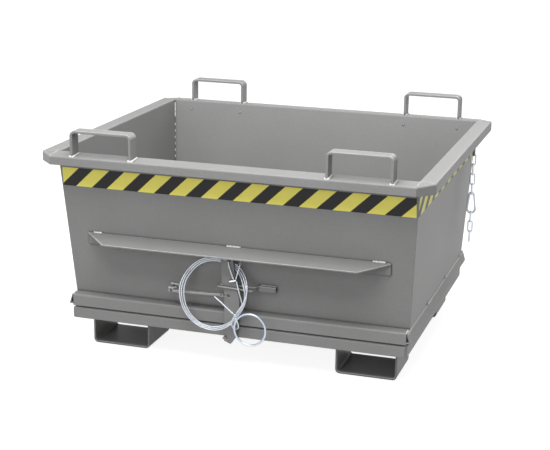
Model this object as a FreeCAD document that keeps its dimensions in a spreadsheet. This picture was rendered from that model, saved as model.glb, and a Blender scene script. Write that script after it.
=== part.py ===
import FreeCAD, Part
import math
import os
import re
import Sketcher
from FreeCAD import Placement, Rotation, Vector

# Drop-bottom container: a tapered sheet-steel hopper on a hinged floor flap with fork pockets.
# Frame: X to the right along the front, Y towards the rear, Z up, origin under the middle of the
# footprint. All lengths are in millimetres and all angles in degrees.

SIZES = {
    # rim and mouth
    "rim_width": 1245,
    "rim_depth": 1088,
    "rim_height": 657,
    "rim_corner": 48,
    "side_flange": 51.5,
    "front_flange": 60,
    "front_drop": 5,
    "side_drop": 1.5,
    "lip_drop": 33,
    "sheet": 3,
    "bend": 5,
    # foot of the walls
    "foot_height": 140,
    "side_lean_share": 0.05156,
    "front_lean_share": 0.12847,
    # lifting lugs
    "lug_width": 202,
    "lug_inset": 67.5,
    "lug_rise": 78,
    "lug_bar_depth": 44,
    "lug_bar": 8,
    "lug_corner": 17,
    "lug_setback": 3,
    # hazard tape
    "tape_drop": 20,
    "tape_width": 60,
    "tape_sheet": 0.4,
    "tape_margin": 4,
    # shelf angle
    "shelf_height": 392,
    "shelf_inset": 70.5,
    "shelf_leg": 86,
    "shelf_wall_leg": 37,
    "shelf_sheet": 5,
    "shelf_mitre": 82,
    "shelf_bend": 7,
    # collar angles at the foot
    "collar_inset": 2.5,
    "collar_step": 42,
    "collar_rise": 4.4,
    "collar_height": 38.2,
    "collar_sheet": 4,
    "collar_bend": 6,
    # roof-shaped strips along the side walls
    "strip_rise": 43,
    "strip_ridge_step": 12.5,
    "strip_ridge_rise": 9.5,
    # floor flap
    "flap_gap": 1,
    "flap_sheet": 4,
    "flap_lip": 2,
    "flap_setback": 3,
    "flap_skirt": 36,
    "flap_bend": 6,
    "flap_notch": 6,
    # fork pockets
    "pocket_inset": 41.5,
    "pocket_width": 196,
    "pocket_length": 170,
    "pocket_setback": 65,
    "pocket_wall": 6,
    "pocket_corner": 14,
    # hinge
    "hinge_setback": 20,
    "hinge_drop": 14,
    "hinge_inset": 112,
    "pin_diameter": 16,
    "hinge_clearance": 0.3,
    "tube_diameter": 26,
    "tube_length": 60,
    "tube_gap": 1,
    "hinge_lug_sheet": 8,
    "hinge_lug_corner": 14,
    "strap_length": 110,
    "strap_sheet": 6,
    "pin_head_diameter": 24,
    "pin_head": 5,
    "pin_overhang": 12,
    "cotter_diameter": 3.5,
    "cotter_length": 26,
    # release lever and its catch
    "seat_gap": 0.3,
    "lever_clearance": 5,
    "lever_sheet": 10,
    "pivot_x": -20,
    "pivot_drop": 25,
    "lever_width": 40,
    "lever_toe": 14,
    "lever_head": 14,
    "lever_head_corner": 17,
    "tooth_reach": 7,
    "rope_hole_diameter": 10,
    "rope_hole_side": 10,
    "rope_hole_drop": 12,
    "spring_hole_diameter": 8.6,
    "boss_diameter": 18,
    "bolt_diameter": 10,
    "bolt_clearance": 0.25,
    "bolt_flats": 17,
    "bolt_head": 6.4,
    "bolt_grip": 8,
    "washer_diameter": 19,
    "washer_sheet": 1.6,
    "catch_sheet": 5,
    "catch_side": 1,
    "catch_length": 52,
    "catch_depth": 38,
    # lever guide
    "guide_rod": 5,
    "guide_front_gap": 6.5,
    "guide_back_gap": 7.5,
    "guide_left_side": 29,
    "guide_turn_side": 84,
    "guide_tab_side": 99,
    "guide_tab_length": 52,
    "guide_tab_height": 17,
    "guide_tab_bottom": 257,
    "guide_tab_step": 18,
    "guide_rise": 15,
    # tension spring
    "spring_diameter": 13,
    "spring_wire": 1.8,
    "spring_pitch": 9.1,
    "spring_turns": 13,
    "anchor_side": 187,
    "anchor_height": 236,
    "anchor_rod": 9,
    "anchor_overhang": 3,
    # pull rope
    "rope_diameter": 4,
    "coil_side": 47,
    "coil_drop": 110,
    "coil_inner_radius": 99,
    "coil_growth": 5.2,
    "coil_stand": 14.3,
    "ferrule_diameter": 8,
    "ferrule_length": 23,
    "knot_diameter": 13,
    "ring_diameter": 107,
    "ring_wire": 6.5,
    "ring_side": 80,
    "ring_stand": 34,
    "ring_drop": 203,
    # safety chain at the right wall
    "chain_inset": 27.5,
    "chain_setback": 229,
    "chain_drop": 80,
    "link_wire": 5,
    "link_length": 45,
    "link_width": 20,
    "anchor_eye_wire": 7,
    "anchor_eye_width": 22,
    "hook_wire": 8,
    "hook_length": 80,
    "hook_top_radius": 8,
    "hook_bow_radius": 14,
    "gate_wire": 6,
    "gate_cheek": 1.5,
    "gate_pin_diameter": 3,
}

# Sizes that follow from the ones above.
FORMULAS = {
    "mouth_width": "rim_width - 2 * side_flange",
    "mouth_depth": "rim_depth - 2 * front_flange",
    "foot_width": "mouth_width + 2 * sheet - 2 * side_lean * (side_knee - foot_height)",
    "foot_depth": "mouth_depth + 2 * sheet - 2 * front_lean * (front_knee - foot_height)",
    "front_knee": "rim_height - sheet * (1 + front_flange_lean)",
    "side_knee": "rim_height - sheet",
    "front_lean": "front_lean_share",
    "side_lean": "side_lean_share",
    "front_inner_lean": "(mouth_depth / 2 + sheet - foot_depth / 2) / (rim_height - foot_height)",
    "front_rim_edge": "rim_height - front_drop",
    "side_rim_edge": "rim_height - side_drop",
    "lip_bottom": "rim_height - lip_drop",
    "flange_half": "rim_width / 2 - rim_corner",
    "side_flange_half": "rim_depth / 2 - rim_corner",
    "front_flange_lean": "front_drop / (rim_depth / 2 - mouth_depth / 2)",
    "lug_centre": "flange_half - lug_inset - lug_width / 2",
    "tape_bottom": "lip_bottom - tape_drop - tape_width",
    "shelf_width": "foot_width + 2 * side_lean * (shelf_height - foot_height) - 2 * shelf_inset",
    "collar_width": "flap_width - 2 * collar_inset",
    "collar_reach": "foot_depth / 2 + collar_step",
    "collar_bottom": "foot_height + collar_rise",
    "collar_top": "foot_height + collar_rise + collar_height",
    "strip_top": "foot_height + strip_rise",
    "strip_ridge_reach": "foot_width / 2 + strip_ridge_step",
    "strip_ridge_height": "foot_height + strip_ridge_rise",
    "flap_width": "foot_width + 2 * flap_lip",
    "flap_front": "collar_reach - flap_setback",
    "flap_top": "foot_height - flap_gap",
    "flap_under": "foot_height - flap_gap - flap_sheet",
    "flap_bottom": "foot_height - flap_gap - flap_skirt",
    "strip_lean": "(strip_ridge_reach - foot_width / 2 - side_lean * (strip_top - foot_height))"
                  " / (strip_top - strip_ridge_height)",
    "strip_across": "sheet * sqrt(1 + strip_lean ^ 2)",
    "collar_inside": "collar_reach - collar_sheet",
    "pocket_centre": "flap_width / 2 - pocket_inset - pocket_width / 2",
    "pocket_middle": "flap_front - pocket_setback - pocket_length / 2",
    "hinge_centre": "pocket_centre - pocket_width / 2 - hinge_inset",
    "hinge_reach": "collar_reach - hinge_setback",
    "hinge_height": "foot_height - hinge_drop",
    "lug_span": "tube_length / 2 + tube_gap + hinge_lug_sheet",
    "lever_back": "collar_reach + lever_clearance",
    "lever_front": "lever_back + lever_sheet",
    "catch_top": "flap_bottom",
    "catch_under": "flap_bottom - catch_sheet",
    "catch_right": "pivot_x + catch_side",
    "catch_left": "catch_right - catch_length",
    "pivot_height": "shelf_height - pivot_drop",
    "lever_tip": "catch_under - lever_toe",
    "lever_length": "pivot_height - lever_tip",
    "rope_hole_x": "pivot_x + rope_hole_side",
    "rope_hole_height": "pivot_height - rope_hole_drop",
    "guide_height": "guide_tab_bottom + guide_rise",
    "guide_front": "lever_front + guide_front_gap",
    "guide_back": "lever_back - guide_back_gap",
    "guide_left": "pivot_x - guide_left_side",
    "guide_turn": "pivot_x + guide_turn_side",
    "guide_tab_left": "pivot_x + guide_tab_side",
    "guide_tab_reach": "lever_back - guide_tab_step",
    "anchor_x": "pivot_x - anchor_side",
    "anchor_reach": "lever_front + anchor_overhang",
    "spring_y": "-(lever_back + lever_sheet / 2)",
    "coil_x": "rope_hole_x - coil_side",
    "coil_height": "rope_hole_height - coil_drop",
    "coil_front": "lever_front + coil_stand",
    "coil_behind": "lever_back - rope_diameter / 2 - seat_gap",
    "ring_x": "rope_hole_x + ring_side",
    "ring_y": "-(lever_front + ring_stand)",
    "ring_height": "rope_hole_height - ring_drop",
    "chain_x": "rim_width / 2 - chain_inset",
    "chain_y": "rim_depth / 2 - chain_setback",
    "chain_top": "rim_height - chain_drop",
    "link_pitch": "link_length - 2 * link_wire - seat_gap",
}

OVERRUN = "sheet"


def swapped(match):
    word = match.group(0)
    if word in FORMULAS:
        return "(" + bound(FORMULAS[word]) + ")"
    if word in SIZES:
        return "Sizes." + word
    return word


def bound(formula):
    """A formula in plain names, written in the sheet's terms."""
    return re.sub(r"[A-Za-z_]\w*", swapped, str(formula))


def value(formula):
    result = sheet.evalExpression(bound(formula))
    return float(getattr(result, "Value", result))


def front_face(height):
    """How far the front or rear wall's outer face stands from the middle at a height."""
    return f"(foot_depth / 2 + front_lean * ({height} - foot_height))"


def front_inside(height):
    """How far the front or rear wall's inner face stands from the middle at a height."""
    return f"(foot_depth / 2 - sheet + front_inner_lean * ({height} - foot_height))"


def side_face(height):
    """How far a side wall's outer face stands from the middle at a height."""
    return f"(foot_width / 2 + side_lean * ({height} - foot_height))"


doc = FreeCAD.newDocument("DropBottomContainer")
sheet = doc.addObject("Spreadsheet::Sheet", "Sizes")
for row, (name, size) in enumerate(SIZES.items(), 1):
    sheet.set(f"A{row}", name)
    sheet.set(f"B{row}", str(size))
    sheet.setAlias(f"B{row}", name)
doc.recompute()

subparts = []


def new_body(label):
    body = doc.addObject("PartDesign::Body", label)
    body.Label = label
    subparts.append(body)
    return body


def add_solid(label, shape):
    feature = doc.addObject("Part::Feature", label)
    feature.Label = label
    feature.Shape = shape
    subparts.append(feature)
    return feature


def flat_sketch(body, axis, away):
    """An empty sketch square to an axis, at a place along it."""
    role = {"X": "YZ_Plane", "Y": "XZ_Plane", "Z": "XY_Plane"}[axis]
    sketch = body.newObject("Sketcher::SketchObject", "Outline")
    plane = [feature for feature in body.Origin.OriginFeatures if feature.Role == role][0]
    sketch.AttachmentSupport = (plane, [""])
    sketch.MapMode = "FlatFace"
    sign = "-1 * " if axis == "Y" else ""
    sketch.setExpression(".AttachmentOffset.Base.z", bound(f"{sign}({away})"))
    return sketch


def draw_outline(sketch, corners):
    """A closed outline; each corner is a pair of formulas, with a third where it is rounded."""
    places = [Vector(value(corner[0]), value(corner[1]), 0) for corner in corners]
    starts, ends, arcs = [], [], []
    for index, corner in enumerate(corners):
        here, before, after = places[index], places[index - 1], places[(index + 1) % len(places)]
        if len(corner) < 3:
            starts.append(here)
            ends.append(here)
            arcs.append(None)
            continue
        radius = value(corner[2])
        back, ahead = (before - here).normalize(), (after - here).normalize()
        half = back.getAngle(ahead) / 2
        middle = here + (back + ahead).normalize() * (radius / math.sin(half))
        starts.append(here + back * (radius / math.tan(half)))
        ends.append(here + ahead * (radius / math.tan(half)))
        arcs.append(Part.Arc(starts[-1], middle - (back + ahead).normalize() * radius, ends[-1]))
    lines = []
    for index in range(len(corners)):
        run = Part.LineSegment(ends[index], starts[(index + 1) % len(corners)])
        lines.append(sketch.addGeometry(run, False))
    for index, corner in enumerate(corners):
        before, after = lines[index - 1], lines[index]
        if arcs[index] is None:
            sketch.addConstraint(Sketcher.Constraint("Coincident", before, 2, after, 1))
            anchor = after
        else:
            arc = sketch.addGeometry(arcs[index], False)
            first = 1 if sketch.getPoint(arc, 1).isEqual(starts[index], 1e-6) else 2
            sketch.addConstraint(Sketcher.Constraint("Tangent", before, 2, arc, first))
            sketch.addConstraint(Sketcher.Constraint("Tangent", after, 1, arc, 3 - first))
            limit = sketch.addConstraint(Sketcher.Constraint("Radius", arc, value(corner[2])))
            sketch.setExpression(f"Constraints[{limit}]", bound(corner[2]))
            anchor = sketch.addGeometry(Part.Point(places[index]), True)
            sketch.addConstraint(Sketcher.Constraint("PointOnObject", anchor, 1, before))
            sketch.addConstraint(Sketcher.Constraint("PointOnObject", anchor, 1, after))
        pin_point(sketch, anchor, corner)


def pin_point(sketch, geometry, corner, point=1):
    for kind, formula in (("DistanceX", corner[0]), ("DistanceY", corner[1])):
        limit = sketch.addConstraint(Sketcher.Constraint(kind, geometry, point, value(formula)))
        sketch.setExpression(f"Constraints[{limit}]", bound(formula))


def draw_circle(sketch, centre, diameter):
    place = Vector(value(centre[0]), value(centre[1]), 0)
    circle = sketch.addGeometry(Part.Circle(place, Vector(0, 0, 1), value(diameter) / 2), False)
    limit = sketch.addConstraint(Sketcher.Constraint("Diameter", circle, value(diameter)))
    sketch.setExpression(f"Constraints[{limit}]", bound(diameter))
    pin_point(sketch, circle, centre, 3)


def pad(body, axis, start, end, corners=None, centre=None, diameter=None):
    """A prism along an axis from start to end, on an outline or a circle."""
    sketch = flat_sketch(body, axis, end if axis == "Y" else start)
    if corners:
        draw_outline(sketch, corners)
    else:
        draw_circle(sketch, centre, diameter)
    feature = body.newObject("PartDesign::Pad", "Pad")
    feature.Profile = sketch
    feature.setExpression("Length", bound(f"({end}) - ({start})"))
    sketch.Visibility = False
    return feature


def cut(body, axis, start, end, corners=None, centre=None, diameter=None):
    """A cut through the body along an axis from start to end."""
    doc.recompute()
    before = body.Shape.Volume
    sketch = flat_sketch(body, axis, start if axis == "Y" else end)
    if corners:
        draw_outline(sketch, corners)
    else:
        draw_circle(sketch, centre, diameter)
    feature = body.newObject("PartDesign::Pocket", "Pocket")
    feature.Profile = sketch
    feature.setExpression("Length", bound(f"({end}) - ({start})"))
    doc.recompute()
    if not body.Shape.Volume < before:
        raise RuntimeError(f"a cut in {body.Label} removes nothing")
    return feature


def put(body, x="0", y="0", z="0"):
    for axis, formula in (("x", x), ("y", y), ("z", z)):
        body.setExpression(f"Placement.Base.{axis}", bound(formula))


def mirrored(corners, side):
    """The same outline on the other side of the first axis of its sketch."""
    return [(f"{side} * ({corner[0]})",) + tuple(corner[1:]) for corner in corners]


def bar_edges(points, radii):
    """Straight runs joined by tangent arcs, one radius for each inner point."""
    edges = []
    here = points[0]
    for index, radius in enumerate(radii, 1):
        corner = points[index]
        back = (points[index - 1] - corner).normalize()
        ahead = (points[index + 1] - corner).normalize()
        half = back.getAngle(ahead) / 2
        first = corner + back * (radius / math.tan(half))
        last = corner + ahead * (radius / math.tan(half))
        bisector = (back + ahead).normalize()
        middle = corner + bisector * (radius / math.sin(half) - radius)
        if not here.isEqual(first, 1e-6):
            edges.append(Part.LineSegment(here, first).toShape())
        edges.append(Part.Arc(first, middle, last).toShape())
        here = last
    edges.append(Part.LineSegment(here, points[-1]).toShape())
    return edges


def bent_points(edges, step):
    """Places along runs and arcs, with each arc cut into runs that turn by about a step."""
    points = [edges[0].valueAt(edges[0].FirstParameter)]
    for edge in edges:
        straight = isinstance(edge.Curve, Part.Line)
        cuts = 1 if straight else max(1, round(math.degrees(edge.Length / edge.Curve.Radius) / step))
        points += edge.discretize(cuts + 1)[1:]
    return points


def section_at(place, along, diameter, sides):
    """A many-sided section square to a direction, as wide across its corners as the diameter."""
    across = along.cross(Vector(0, 0, 1) if abs(along.z) < 0.9 else Vector(1, 0, 0)).normalize()
    over = along.cross(across).normalize()
    corners = []
    for index in range(sides + 1):
        angle = 2 * math.pi * (index + 0.5) / sides
        corners.append(place + (across * math.cos(angle) + over * math.sin(angle)) * (diameter / 2))
    return Part.makePolygon(corners)


def faceted_tube(wire, diameter, sides):
    """A closed bar of many-sided section along a wire of lines and arcs."""
    start = wire.OrderedEdges[0]
    first = start.valueAt(start.FirstParameter)
    along = start.tangentAt(start.FirstParameter)
    if start.Orientation == "Reversed":
        first = start.valueAt(start.LastParameter)
        along = start.tangentAt(start.LastParameter) * -1
    shell = Part.BRepOffsetAPI.MakePipeShell(wire)
    shell.add(section_at(first, along, diameter, sides))
    shell.build()
    shell.makeSolid()
    return shell.shape()


def mitred_bar(points, diameter, sides):
    """A bar of short straight runs, mitred where they meet."""
    shell = Part.BRepOffsetAPI.MakePipeShell(Part.makePolygon(points))
    shell.setTransitionMode(1)
    shell.add(section_at(points[0], (points[1] - points[0]).normalize(), diameter, sides))
    shell.build()
    shell.makeSolid()
    return shell.shape()


def mitred_loop(points, diameter, sides):
    """A mitred bar closed on itself in the middle of a run."""
    start = (points[-1] + points[0]) / 2
    return mitred_bar([start] + points + [start], diameter, sides)


def bow_points(middle, wide, high, cuts, start=0, finish=math.pi):
    """Places round a bow, from its wide side over its high side."""
    angles = [start + (finish - start) * index / cuts for index in range(cuts + 1)]
    return [middle + wide * math.cos(angle) + high * math.sin(angle) for angle in angles]


# Walls. Each is one sheet: wall, rim flange and lip, bent twice.

for label, side in (("front_wall", -1), ("rear_wall", 1)):
    wall = new_body(label)
    profile = [
        ("foot_depth / 2 - sheet", "foot_height"),
        ("mouth_depth / 2", "rim_height", "bend"),
        ("rim_depth / 2", "front_rim_edge", "bend"),
        ("rim_depth / 2", "lip_bottom"),
        ("rim_depth / 2 - sheet", "lip_bottom"),
        ("rim_depth / 2 - sheet", "front_rim_edge - sheet", "bend - sheet"),
        ("mouth_depth / 2 + sheet", "front_knee", "bend - sheet"),
        ("foot_depth / 2", "foot_height"),
    ]
    pad(wall, "X", "-(flange_half)", "flange_half", mirrored(profile, side))
    low, high = f"foot_height - {OVERRUN}", "front_rim_edge - sheet - bend"
    waste = [(side_face(low), low), (side_face(high), high), ("rim_width", high), ("rim_width", low)]
    inside, outside = "0", "rim_depth / 2 - bend"
    for end in (-1, 1):
        start, finish = (f"-({outside})", inside) if side < 0 else (inside, outside)
        cut(wall, "Y", start, finish, mirrored(waste, end))

for label, side in (("left_wall", -1), ("right_wall", 1)):
    wall = new_body(label)
    profile = [
        ("foot_width / 2 - sheet", "foot_height"),
        ("mouth_width / 2", "rim_height", "bend"),
        ("rim_width / 2", "side_rim_edge", "bend"),
        ("rim_width / 2", "lip_bottom"),
        ("rim_width / 2 - sheet", "lip_bottom"),
        ("rim_width / 2 - sheet", "side_rim_edge - sheet", "bend - sheet"),
        ("mouth_width / 2 + sheet", "side_knee", "bend - sheet"),
        ("foot_width / 2", "foot_height"),
    ]
    pad(wall, "Y", "-(side_flange_half)", "side_flange_half", mirrored(profile, side))
    low, high = f"foot_height - {OVERRUN}", f"rim_height + {OVERRUN}"
    waste = [
        (front_inside(low), low),
        (front_inside(high), high),
        ("rim_depth", high),
        ("rim_depth", low),
    ]
    mitre = [
        ("flange_half - sheet",
         "mouth_depth / 2 - sheet * (side_flange_half - mouth_depth / 2) / rim_corner"),
        ("rim_width / 2", "side_flange_half"),
        ("rim_width / 2", "rim_depth"),
        ("flange_half - sheet", "rim_depth"),
    ]
    inner, outer = ("-(flange_half)", "0") if side < 0 else ("0", "flange_half")
    for end in (-1, 1):
        cut(wall, "X", inner, outer, mirrored(waste, end))
        corner = [(f"{side} * ({x})", f"{end} * ({y})") for x, y in mitre]
        cut(wall, "Z", "lip_bottom - sheet", f"rim_height + {OVERRUN}", corner)

# Rim corner plates: a triangle that slopes with both flanges, with a lip along the chamfer.


def corner_plate(side, end):
    reach_x, reach_y = value("flange_half"), value("mouth_depth / 2")
    inner = Vector(side * reach_x, end * reach_y, value("rim_height"))
    front = Vector(side * reach_x, end * value("rim_depth / 2"), value("front_rim_edge"))
    flank = Vector(side * value("rim_width / 2"), end * value("side_flange_half"), value("side_rim_edge"))
    corner = Part.Face(Part.makePolygon([inner, front, flank, inner]))
    drop, thickness = value("lip_drop"), value("sheet")
    column = corner.extrude(Vector(0, 0, -drop))
    ridge = [edge for edge in column.Edges
             if all(point.isEqual(front, 1e-4) or point.isEqual(flank, 1e-4)
                    for point in [vertex.Point for vertex in edge.Vertexes])]
    column = column.makeFillet(value("bend"), ridge)
    hollow = corner.translated(Vector(-side, -end, 0).normalize() * thickness + Vector(0, 0, -thickness))
    column = column.cut(hollow.extrude(Vector(0, 0, -2 * drop)))
    span = 4 * value("rim_corner")
    below = Part.makeBox(span, span, drop, Vector(inner.x - span / 2, inner.y - span / 2,
                                                  value("lip_bottom") - drop))
    return column.cut(below)


add_solid("rim_corner_plates", Part.makeCompound(
    [corner_plate(side, end) for side in (-1, 1) for end in (-1, 1)]))

# Lifting lugs: flat bar bent to a low hoop, standing on the sloping rim flange.

for end, end_name in ((-1, "front"), (1, "rear")):
    for side, side_name in ((-1, "left"), (1, "right")):
        lug = new_body(f"lifting_lug_{end_name}_{side_name}")
        low = "rim_height - 2 * front_drop"
        top = "rim_height + lug_rise"
        hoop = [
            ("-lug_width / 2", low),
            ("-lug_width / 2", top, "lug_corner"),
            ("lug_width / 2", top, "lug_corner"),
            ("lug_width / 2", low),
            ("lug_width / 2 - lug_bar", low),
            ("lug_width / 2 - lug_bar", f"{top} - lug_bar", "lug_corner - lug_bar"),
            ("-lug_width / 2 + lug_bar", f"{top} - lug_bar", "lug_corner - lug_bar"),
            ("-lug_width / 2 + lug_bar", low),
        ]
        outer = "rim_depth / 2 - lug_setback"
        inner = f"{outer} - lug_bar_depth"
        start, finish = (f"-({outer})", f"-({inner})") if end < 0 else (inner, outer)
        pad(lug, "Y", start, finish, hoop)
        under = [
            ("rim_depth / 2", "front_rim_edge"),
            ("mouth_depth / 2", "rim_height"),
            ("mouth_depth / 2", "rim_height - 3 * front_drop"),
            ("rim_depth / 2", "rim_height - 3 * front_drop"),
        ]
        cut(lug, "X", "-lug_width", "lug_width", mirrored(under, end))
        put(lug, x=f"{side} * lug_centre")

# Hazard tape under the rim, one strip on each wall.

tape_top = "tape_bottom + tape_width"
for label, side in (("hazard_tape_front", -1), ("hazard_tape_rear", 1)):
    tape = new_body(label)
    profile = [
        (front_face("tape_bottom"), "tape_bottom"),
        (front_face(f"({tape_top})"), tape_top),
        (f"{front_face(f'({tape_top})')} + tape_sheet", tape_top),
        (f"{front_face('tape_bottom')} + tape_sheet", "tape_bottom"),
    ]
    reach = f"{side_face('tape_bottom')} - tape_margin"
    pad(tape, "X", f"-({reach})", reach, mirrored(profile, side))
for label, side in (("hazard_tape_left", -1), ("hazard_tape_right", 1)):
    tape = new_body(label)
    profile = [
        (side_face("tape_bottom"), "tape_bottom"),
        (side_face(f"({tape_top})"), tape_top),
        (f"{side_face(f'({tape_top})')} + tape_sheet", tape_top),
        (f"{side_face('tape_bottom')} + tape_sheet", "tape_bottom"),
    ]
    reach = f"{front_face('tape_bottom')} - sheet - tape_margin"
    pad(tape, "Y", f"-({reach})", reach, mirrored(profile, side))

# Shelf angle across the front wall: drawn square, then leant back with the wall.

shelf = new_body("shelf_angle")
shelf_profile = [
    ("0", "0"),
    ("-shelf_leg", "0"),
    ("-shelf_leg", "-shelf_sheet"),
    ("-shelf_sheet", "-shelf_sheet", "shelf_bend - shelf_sheet"),
    ("-shelf_sheet", "-shelf_wall_leg"),
    ("0", "-shelf_wall_leg"),
]
pad(shelf, "X", "-shelf_width / 2", "shelf_width / 2", shelf_profile)
shelf_mitre = [
    ("shelf_width / 2", "-shelf_sheet"),
    ("shelf_width / 2 - shelf_mitre", "-shelf_leg"),
    ("shelf_width / 2 - shelf_mitre", "-2 * shelf_leg"),
    ("shelf_width", "-2 * shelf_leg"),
    ("shelf_width", "-shelf_sheet"),
]
for end in (-1, 1):
    cut(shelf, "Z", "-shelf_wall_leg", "shelf_sheet", mirrored(shelf_mitre, end))
shelf.Placement = Placement(Vector(0, 0, 0), Rotation(Vector(1, 0, 0), 1))
shelf.setExpression("Placement.Rotation.Angle", bound("atan(front_lean)"))
put(shelf, y=f"-{front_face('shelf_height')}", z="shelf_height")

# Collar angles round the foot of the front and rear walls.

for label, side in (("front_collar", -1), ("rear_collar", 1)):
    collar = new_body(label)
    profile = [
        ("collar_reach", "collar_bottom"),
        ("collar_reach", "collar_top", "collar_bend"),
        (front_face("collar_top"), "collar_top"),
        (front_face("(collar_top - collar_sheet)"), "collar_top - collar_sheet"),
        ("collar_inside", "collar_top - collar_sheet", "collar_bend - collar_sheet"),
        ("collar_inside", "collar_bottom"),
    ]
    pad(collar, "X", "-collar_width / 2", "collar_width / 2", mirrored(profile, side))

# Roof-shaped strips along the feet of the side walls.

for label, side in (("left_roof_strip", -1), ("right_roof_strip", 1)):
    strip = new_body(label)
    ridge_in = "strip_ridge_height + sheet"
    seat = "strip_top - strip_across / (strip_lean + side_lean)"
    profile = [
        (side_face("strip_top"), "strip_top"),
        ("strip_ridge_reach", "strip_ridge_height"),
        (side_face("strip_ridge_height"), "strip_ridge_height"),
        (side_face(f"({ridge_in})"), ridge_in),
        ("strip_ridge_reach - strip_across - strip_lean * sheet", ridge_in),
        (side_face(f"({seat})"), seat),
    ]
    pad(strip, "Y", "-(collar_reach)", "collar_reach", mirrored(profile, side))

# Floor flap: a pan with skirts at the front and sides.

pan = new_body("flap_pan")
tray = [
    ("-flap_width / 2", "flap_bottom"),
    ("-flap_width / 2", "flap_top", "flap_bend"),
    ("flap_width / 2", "flap_top", "flap_bend"),
    ("flap_width / 2", "flap_bottom"),
    ("flap_width / 2 - flap_sheet", "flap_bottom"),
    ("flap_width / 2 - flap_sheet", "flap_under", "flap_bend - flap_sheet"),
    ("-flap_width / 2 + flap_sheet", "flap_under", "flap_bend - flap_sheet"),
    ("-flap_width / 2 + flap_sheet", "flap_bottom"),
]
pad(pan, "Y", "-flap_front + flap_sheet", "foot_depth / 2", tray)
nose = [
    ("-flap_front + 2 * flap_bend", "flap_top"),
    ("-flap_front", "flap_top", "flap_bend"),
    ("-flap_front", "flap_bottom"),
    ("-flap_front + flap_sheet", "flap_bottom"),
    ("-flap_front + flap_sheet", "flap_under", "flap_bend - flap_sheet"),
    ("-flap_front + 2 * flap_bend", "flap_under"),
]
pad(pan, "X", "-flap_width / 2 + flap_notch", "flap_width / 2 - flap_notch", nose)

# Fork pockets: U-shaped stubs under the flap.

for end, end_name in ((-1, "front"), (1, "rear")):
    for side, side_name in ((-1, "left"), (1, "right")):
        pocket = new_body(f"fork_pocket_{end_name}_{side_name}")
        channel = [
            ("-pocket_width / 2", "flap_under"),
            ("-pocket_width / 2", "0", "pocket_corner"),
            ("pocket_width / 2", "0", "pocket_corner"),
            ("pocket_width / 2", "flap_under"),
            ("pocket_width / 2 - pocket_wall", "flap_under"),
            ("pocket_width / 2 - pocket_wall", "pocket_wall", "pocket_corner - pocket_wall"),
            ("-pocket_width / 2 + pocket_wall", "pocket_wall", "pocket_corner - pocket_wall"),
            ("-pocket_width / 2 + pocket_wall", "flap_under"),
        ]
        pad(pocket, "Y", "-pocket_length / 2", "pocket_length / 2", channel)
        put(pocket, x=f"{side} * pocket_centre", y=f"{end} * pocket_middle")

# Catch plate under the flap's front skirt.

catch = new_body("catch_plate")
catch_outline = [
    ("catch_left", "-(lever_front)"),
    ("catch_right", "-(lever_front)"),
    ("catch_right", "-(lever_front) + catch_depth"),
    ("catch_left", "-(lever_front) + catch_depth"),
]
pad(catch, "Z", "catch_under", "catch_top", catch_outline)

# Rear hinge: lugs on the hopper, tube and strap on the flap, pin and cotter.

axle = ("hinge_reach", "hinge_height")
bore = "pin_diameter + 2 * hinge_clearance"
for side, side_name in ((-1, "left"), (1, "right")):
    tube = new_body(f"flap_hinge_{side_name}")
    half = "tube_length / 2"
    pad(tube, "X", f"-{half}", half, centre=axle, diameter="tube_diameter")
    strap = [
        (f"-{half}", "hinge_reach - strap_length"),
        (half, "hinge_reach - strap_length"),
        (half, "hinge_reach"),
        (f"-{half}", "hinge_reach"),
    ]
    pad(tube, "Z", "flap_under - strap_sheet", "flap_under", strap)
    cut(tube, "X", f"-{half} - {OVERRUN}", f"{half} + {OVERRUN}", centre=axle, diameter=bore)
    put(tube, x=f"{side} * hinge_centre")

lugs = new_body("hinge_lugs")
pins = new_body("hinge_pins")
top = "collar_top - collar_sheet"
lug_outline = [
    (front_face(f"({top})"), top),
    ("collar_inside", top, "collar_bend"),
    ("collar_inside", "hinge_height - (collar_inside - hinge_reach)", "hinge_lug_corner"),
    ("2 * hinge_reach - collar_inside", "hinge_height - (collar_inside - hinge_reach)",
     "hinge_lug_corner"),
    ("2 * hinge_reach - collar_inside", "foot_height"),
    (front_face("collar_bottom"), "collar_bottom"),
]
cotters = []
for side in (-1, 1):
    middle = f"{side} * hinge_centre"
    near, far = "tube_length / 2 + tube_gap", "lug_span"
    pad(lugs, "X", f"{middle} - {far}", f"{middle} - ({near})", lug_outline)
    pad(lugs, "X", f"{middle} + {near}", f"{middle} + {far}", lug_outline)
    cut(lugs, "X", f"{middle} - {far} - {OVERRUN}", f"{middle} + {far} + {OVERRUN}", centre=axle,
        diameter=bore)

    head = f"{middle} - {far} - seat_gap"
    pad(pins, "X", head, f"{middle} + {far} + pin_overhang", centre=axle, diameter="pin_diameter")
    pad(pins, "X", f"{head} - pin_head", head, centre=axle, diameter="pin_head_diameter")
    cotter_x = f"{middle} + {far} + pin_overhang / 2"
    cut(pins, "Z", "hinge_height - pin_diameter", "hinge_height + pin_diameter",
        centre=(cotter_x, "hinge_reach"), diameter="cotter_diameter + seat_gap")

    cotter = value("cotter_diameter")
    low = Vector(value(cotter_x), value("hinge_reach"), value("hinge_height - cotter_length / 2"))
    high = low + Vector(0, 0, value("cotter_length"))
    eye = bow_points(high + Vector(0, 0, cotter), Vector(0, cotter, 0), Vector(0, 0, cotter), 8,
                     finish=2 * math.pi)
    shank = mitred_bar([low, high], cotter, 6)
    cotters.append(shank.fuse(mitred_loop(eye[:-1], cotter, 6)).removeSplitter())
add_solid("hinge_cotters", Part.makeCompound(cotters))

# Release lever: a flat bar hung from its pivot, hooked under the catch plate.

lever = new_body("release_lever")


def on_lever(across_share, down_share):
    """A place on the lever from its pivot, as shares of its width and its length."""
    return (f"pivot_x + {across_share} * lever_width", f"pivot_height - {down_share} * lever_length")


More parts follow.
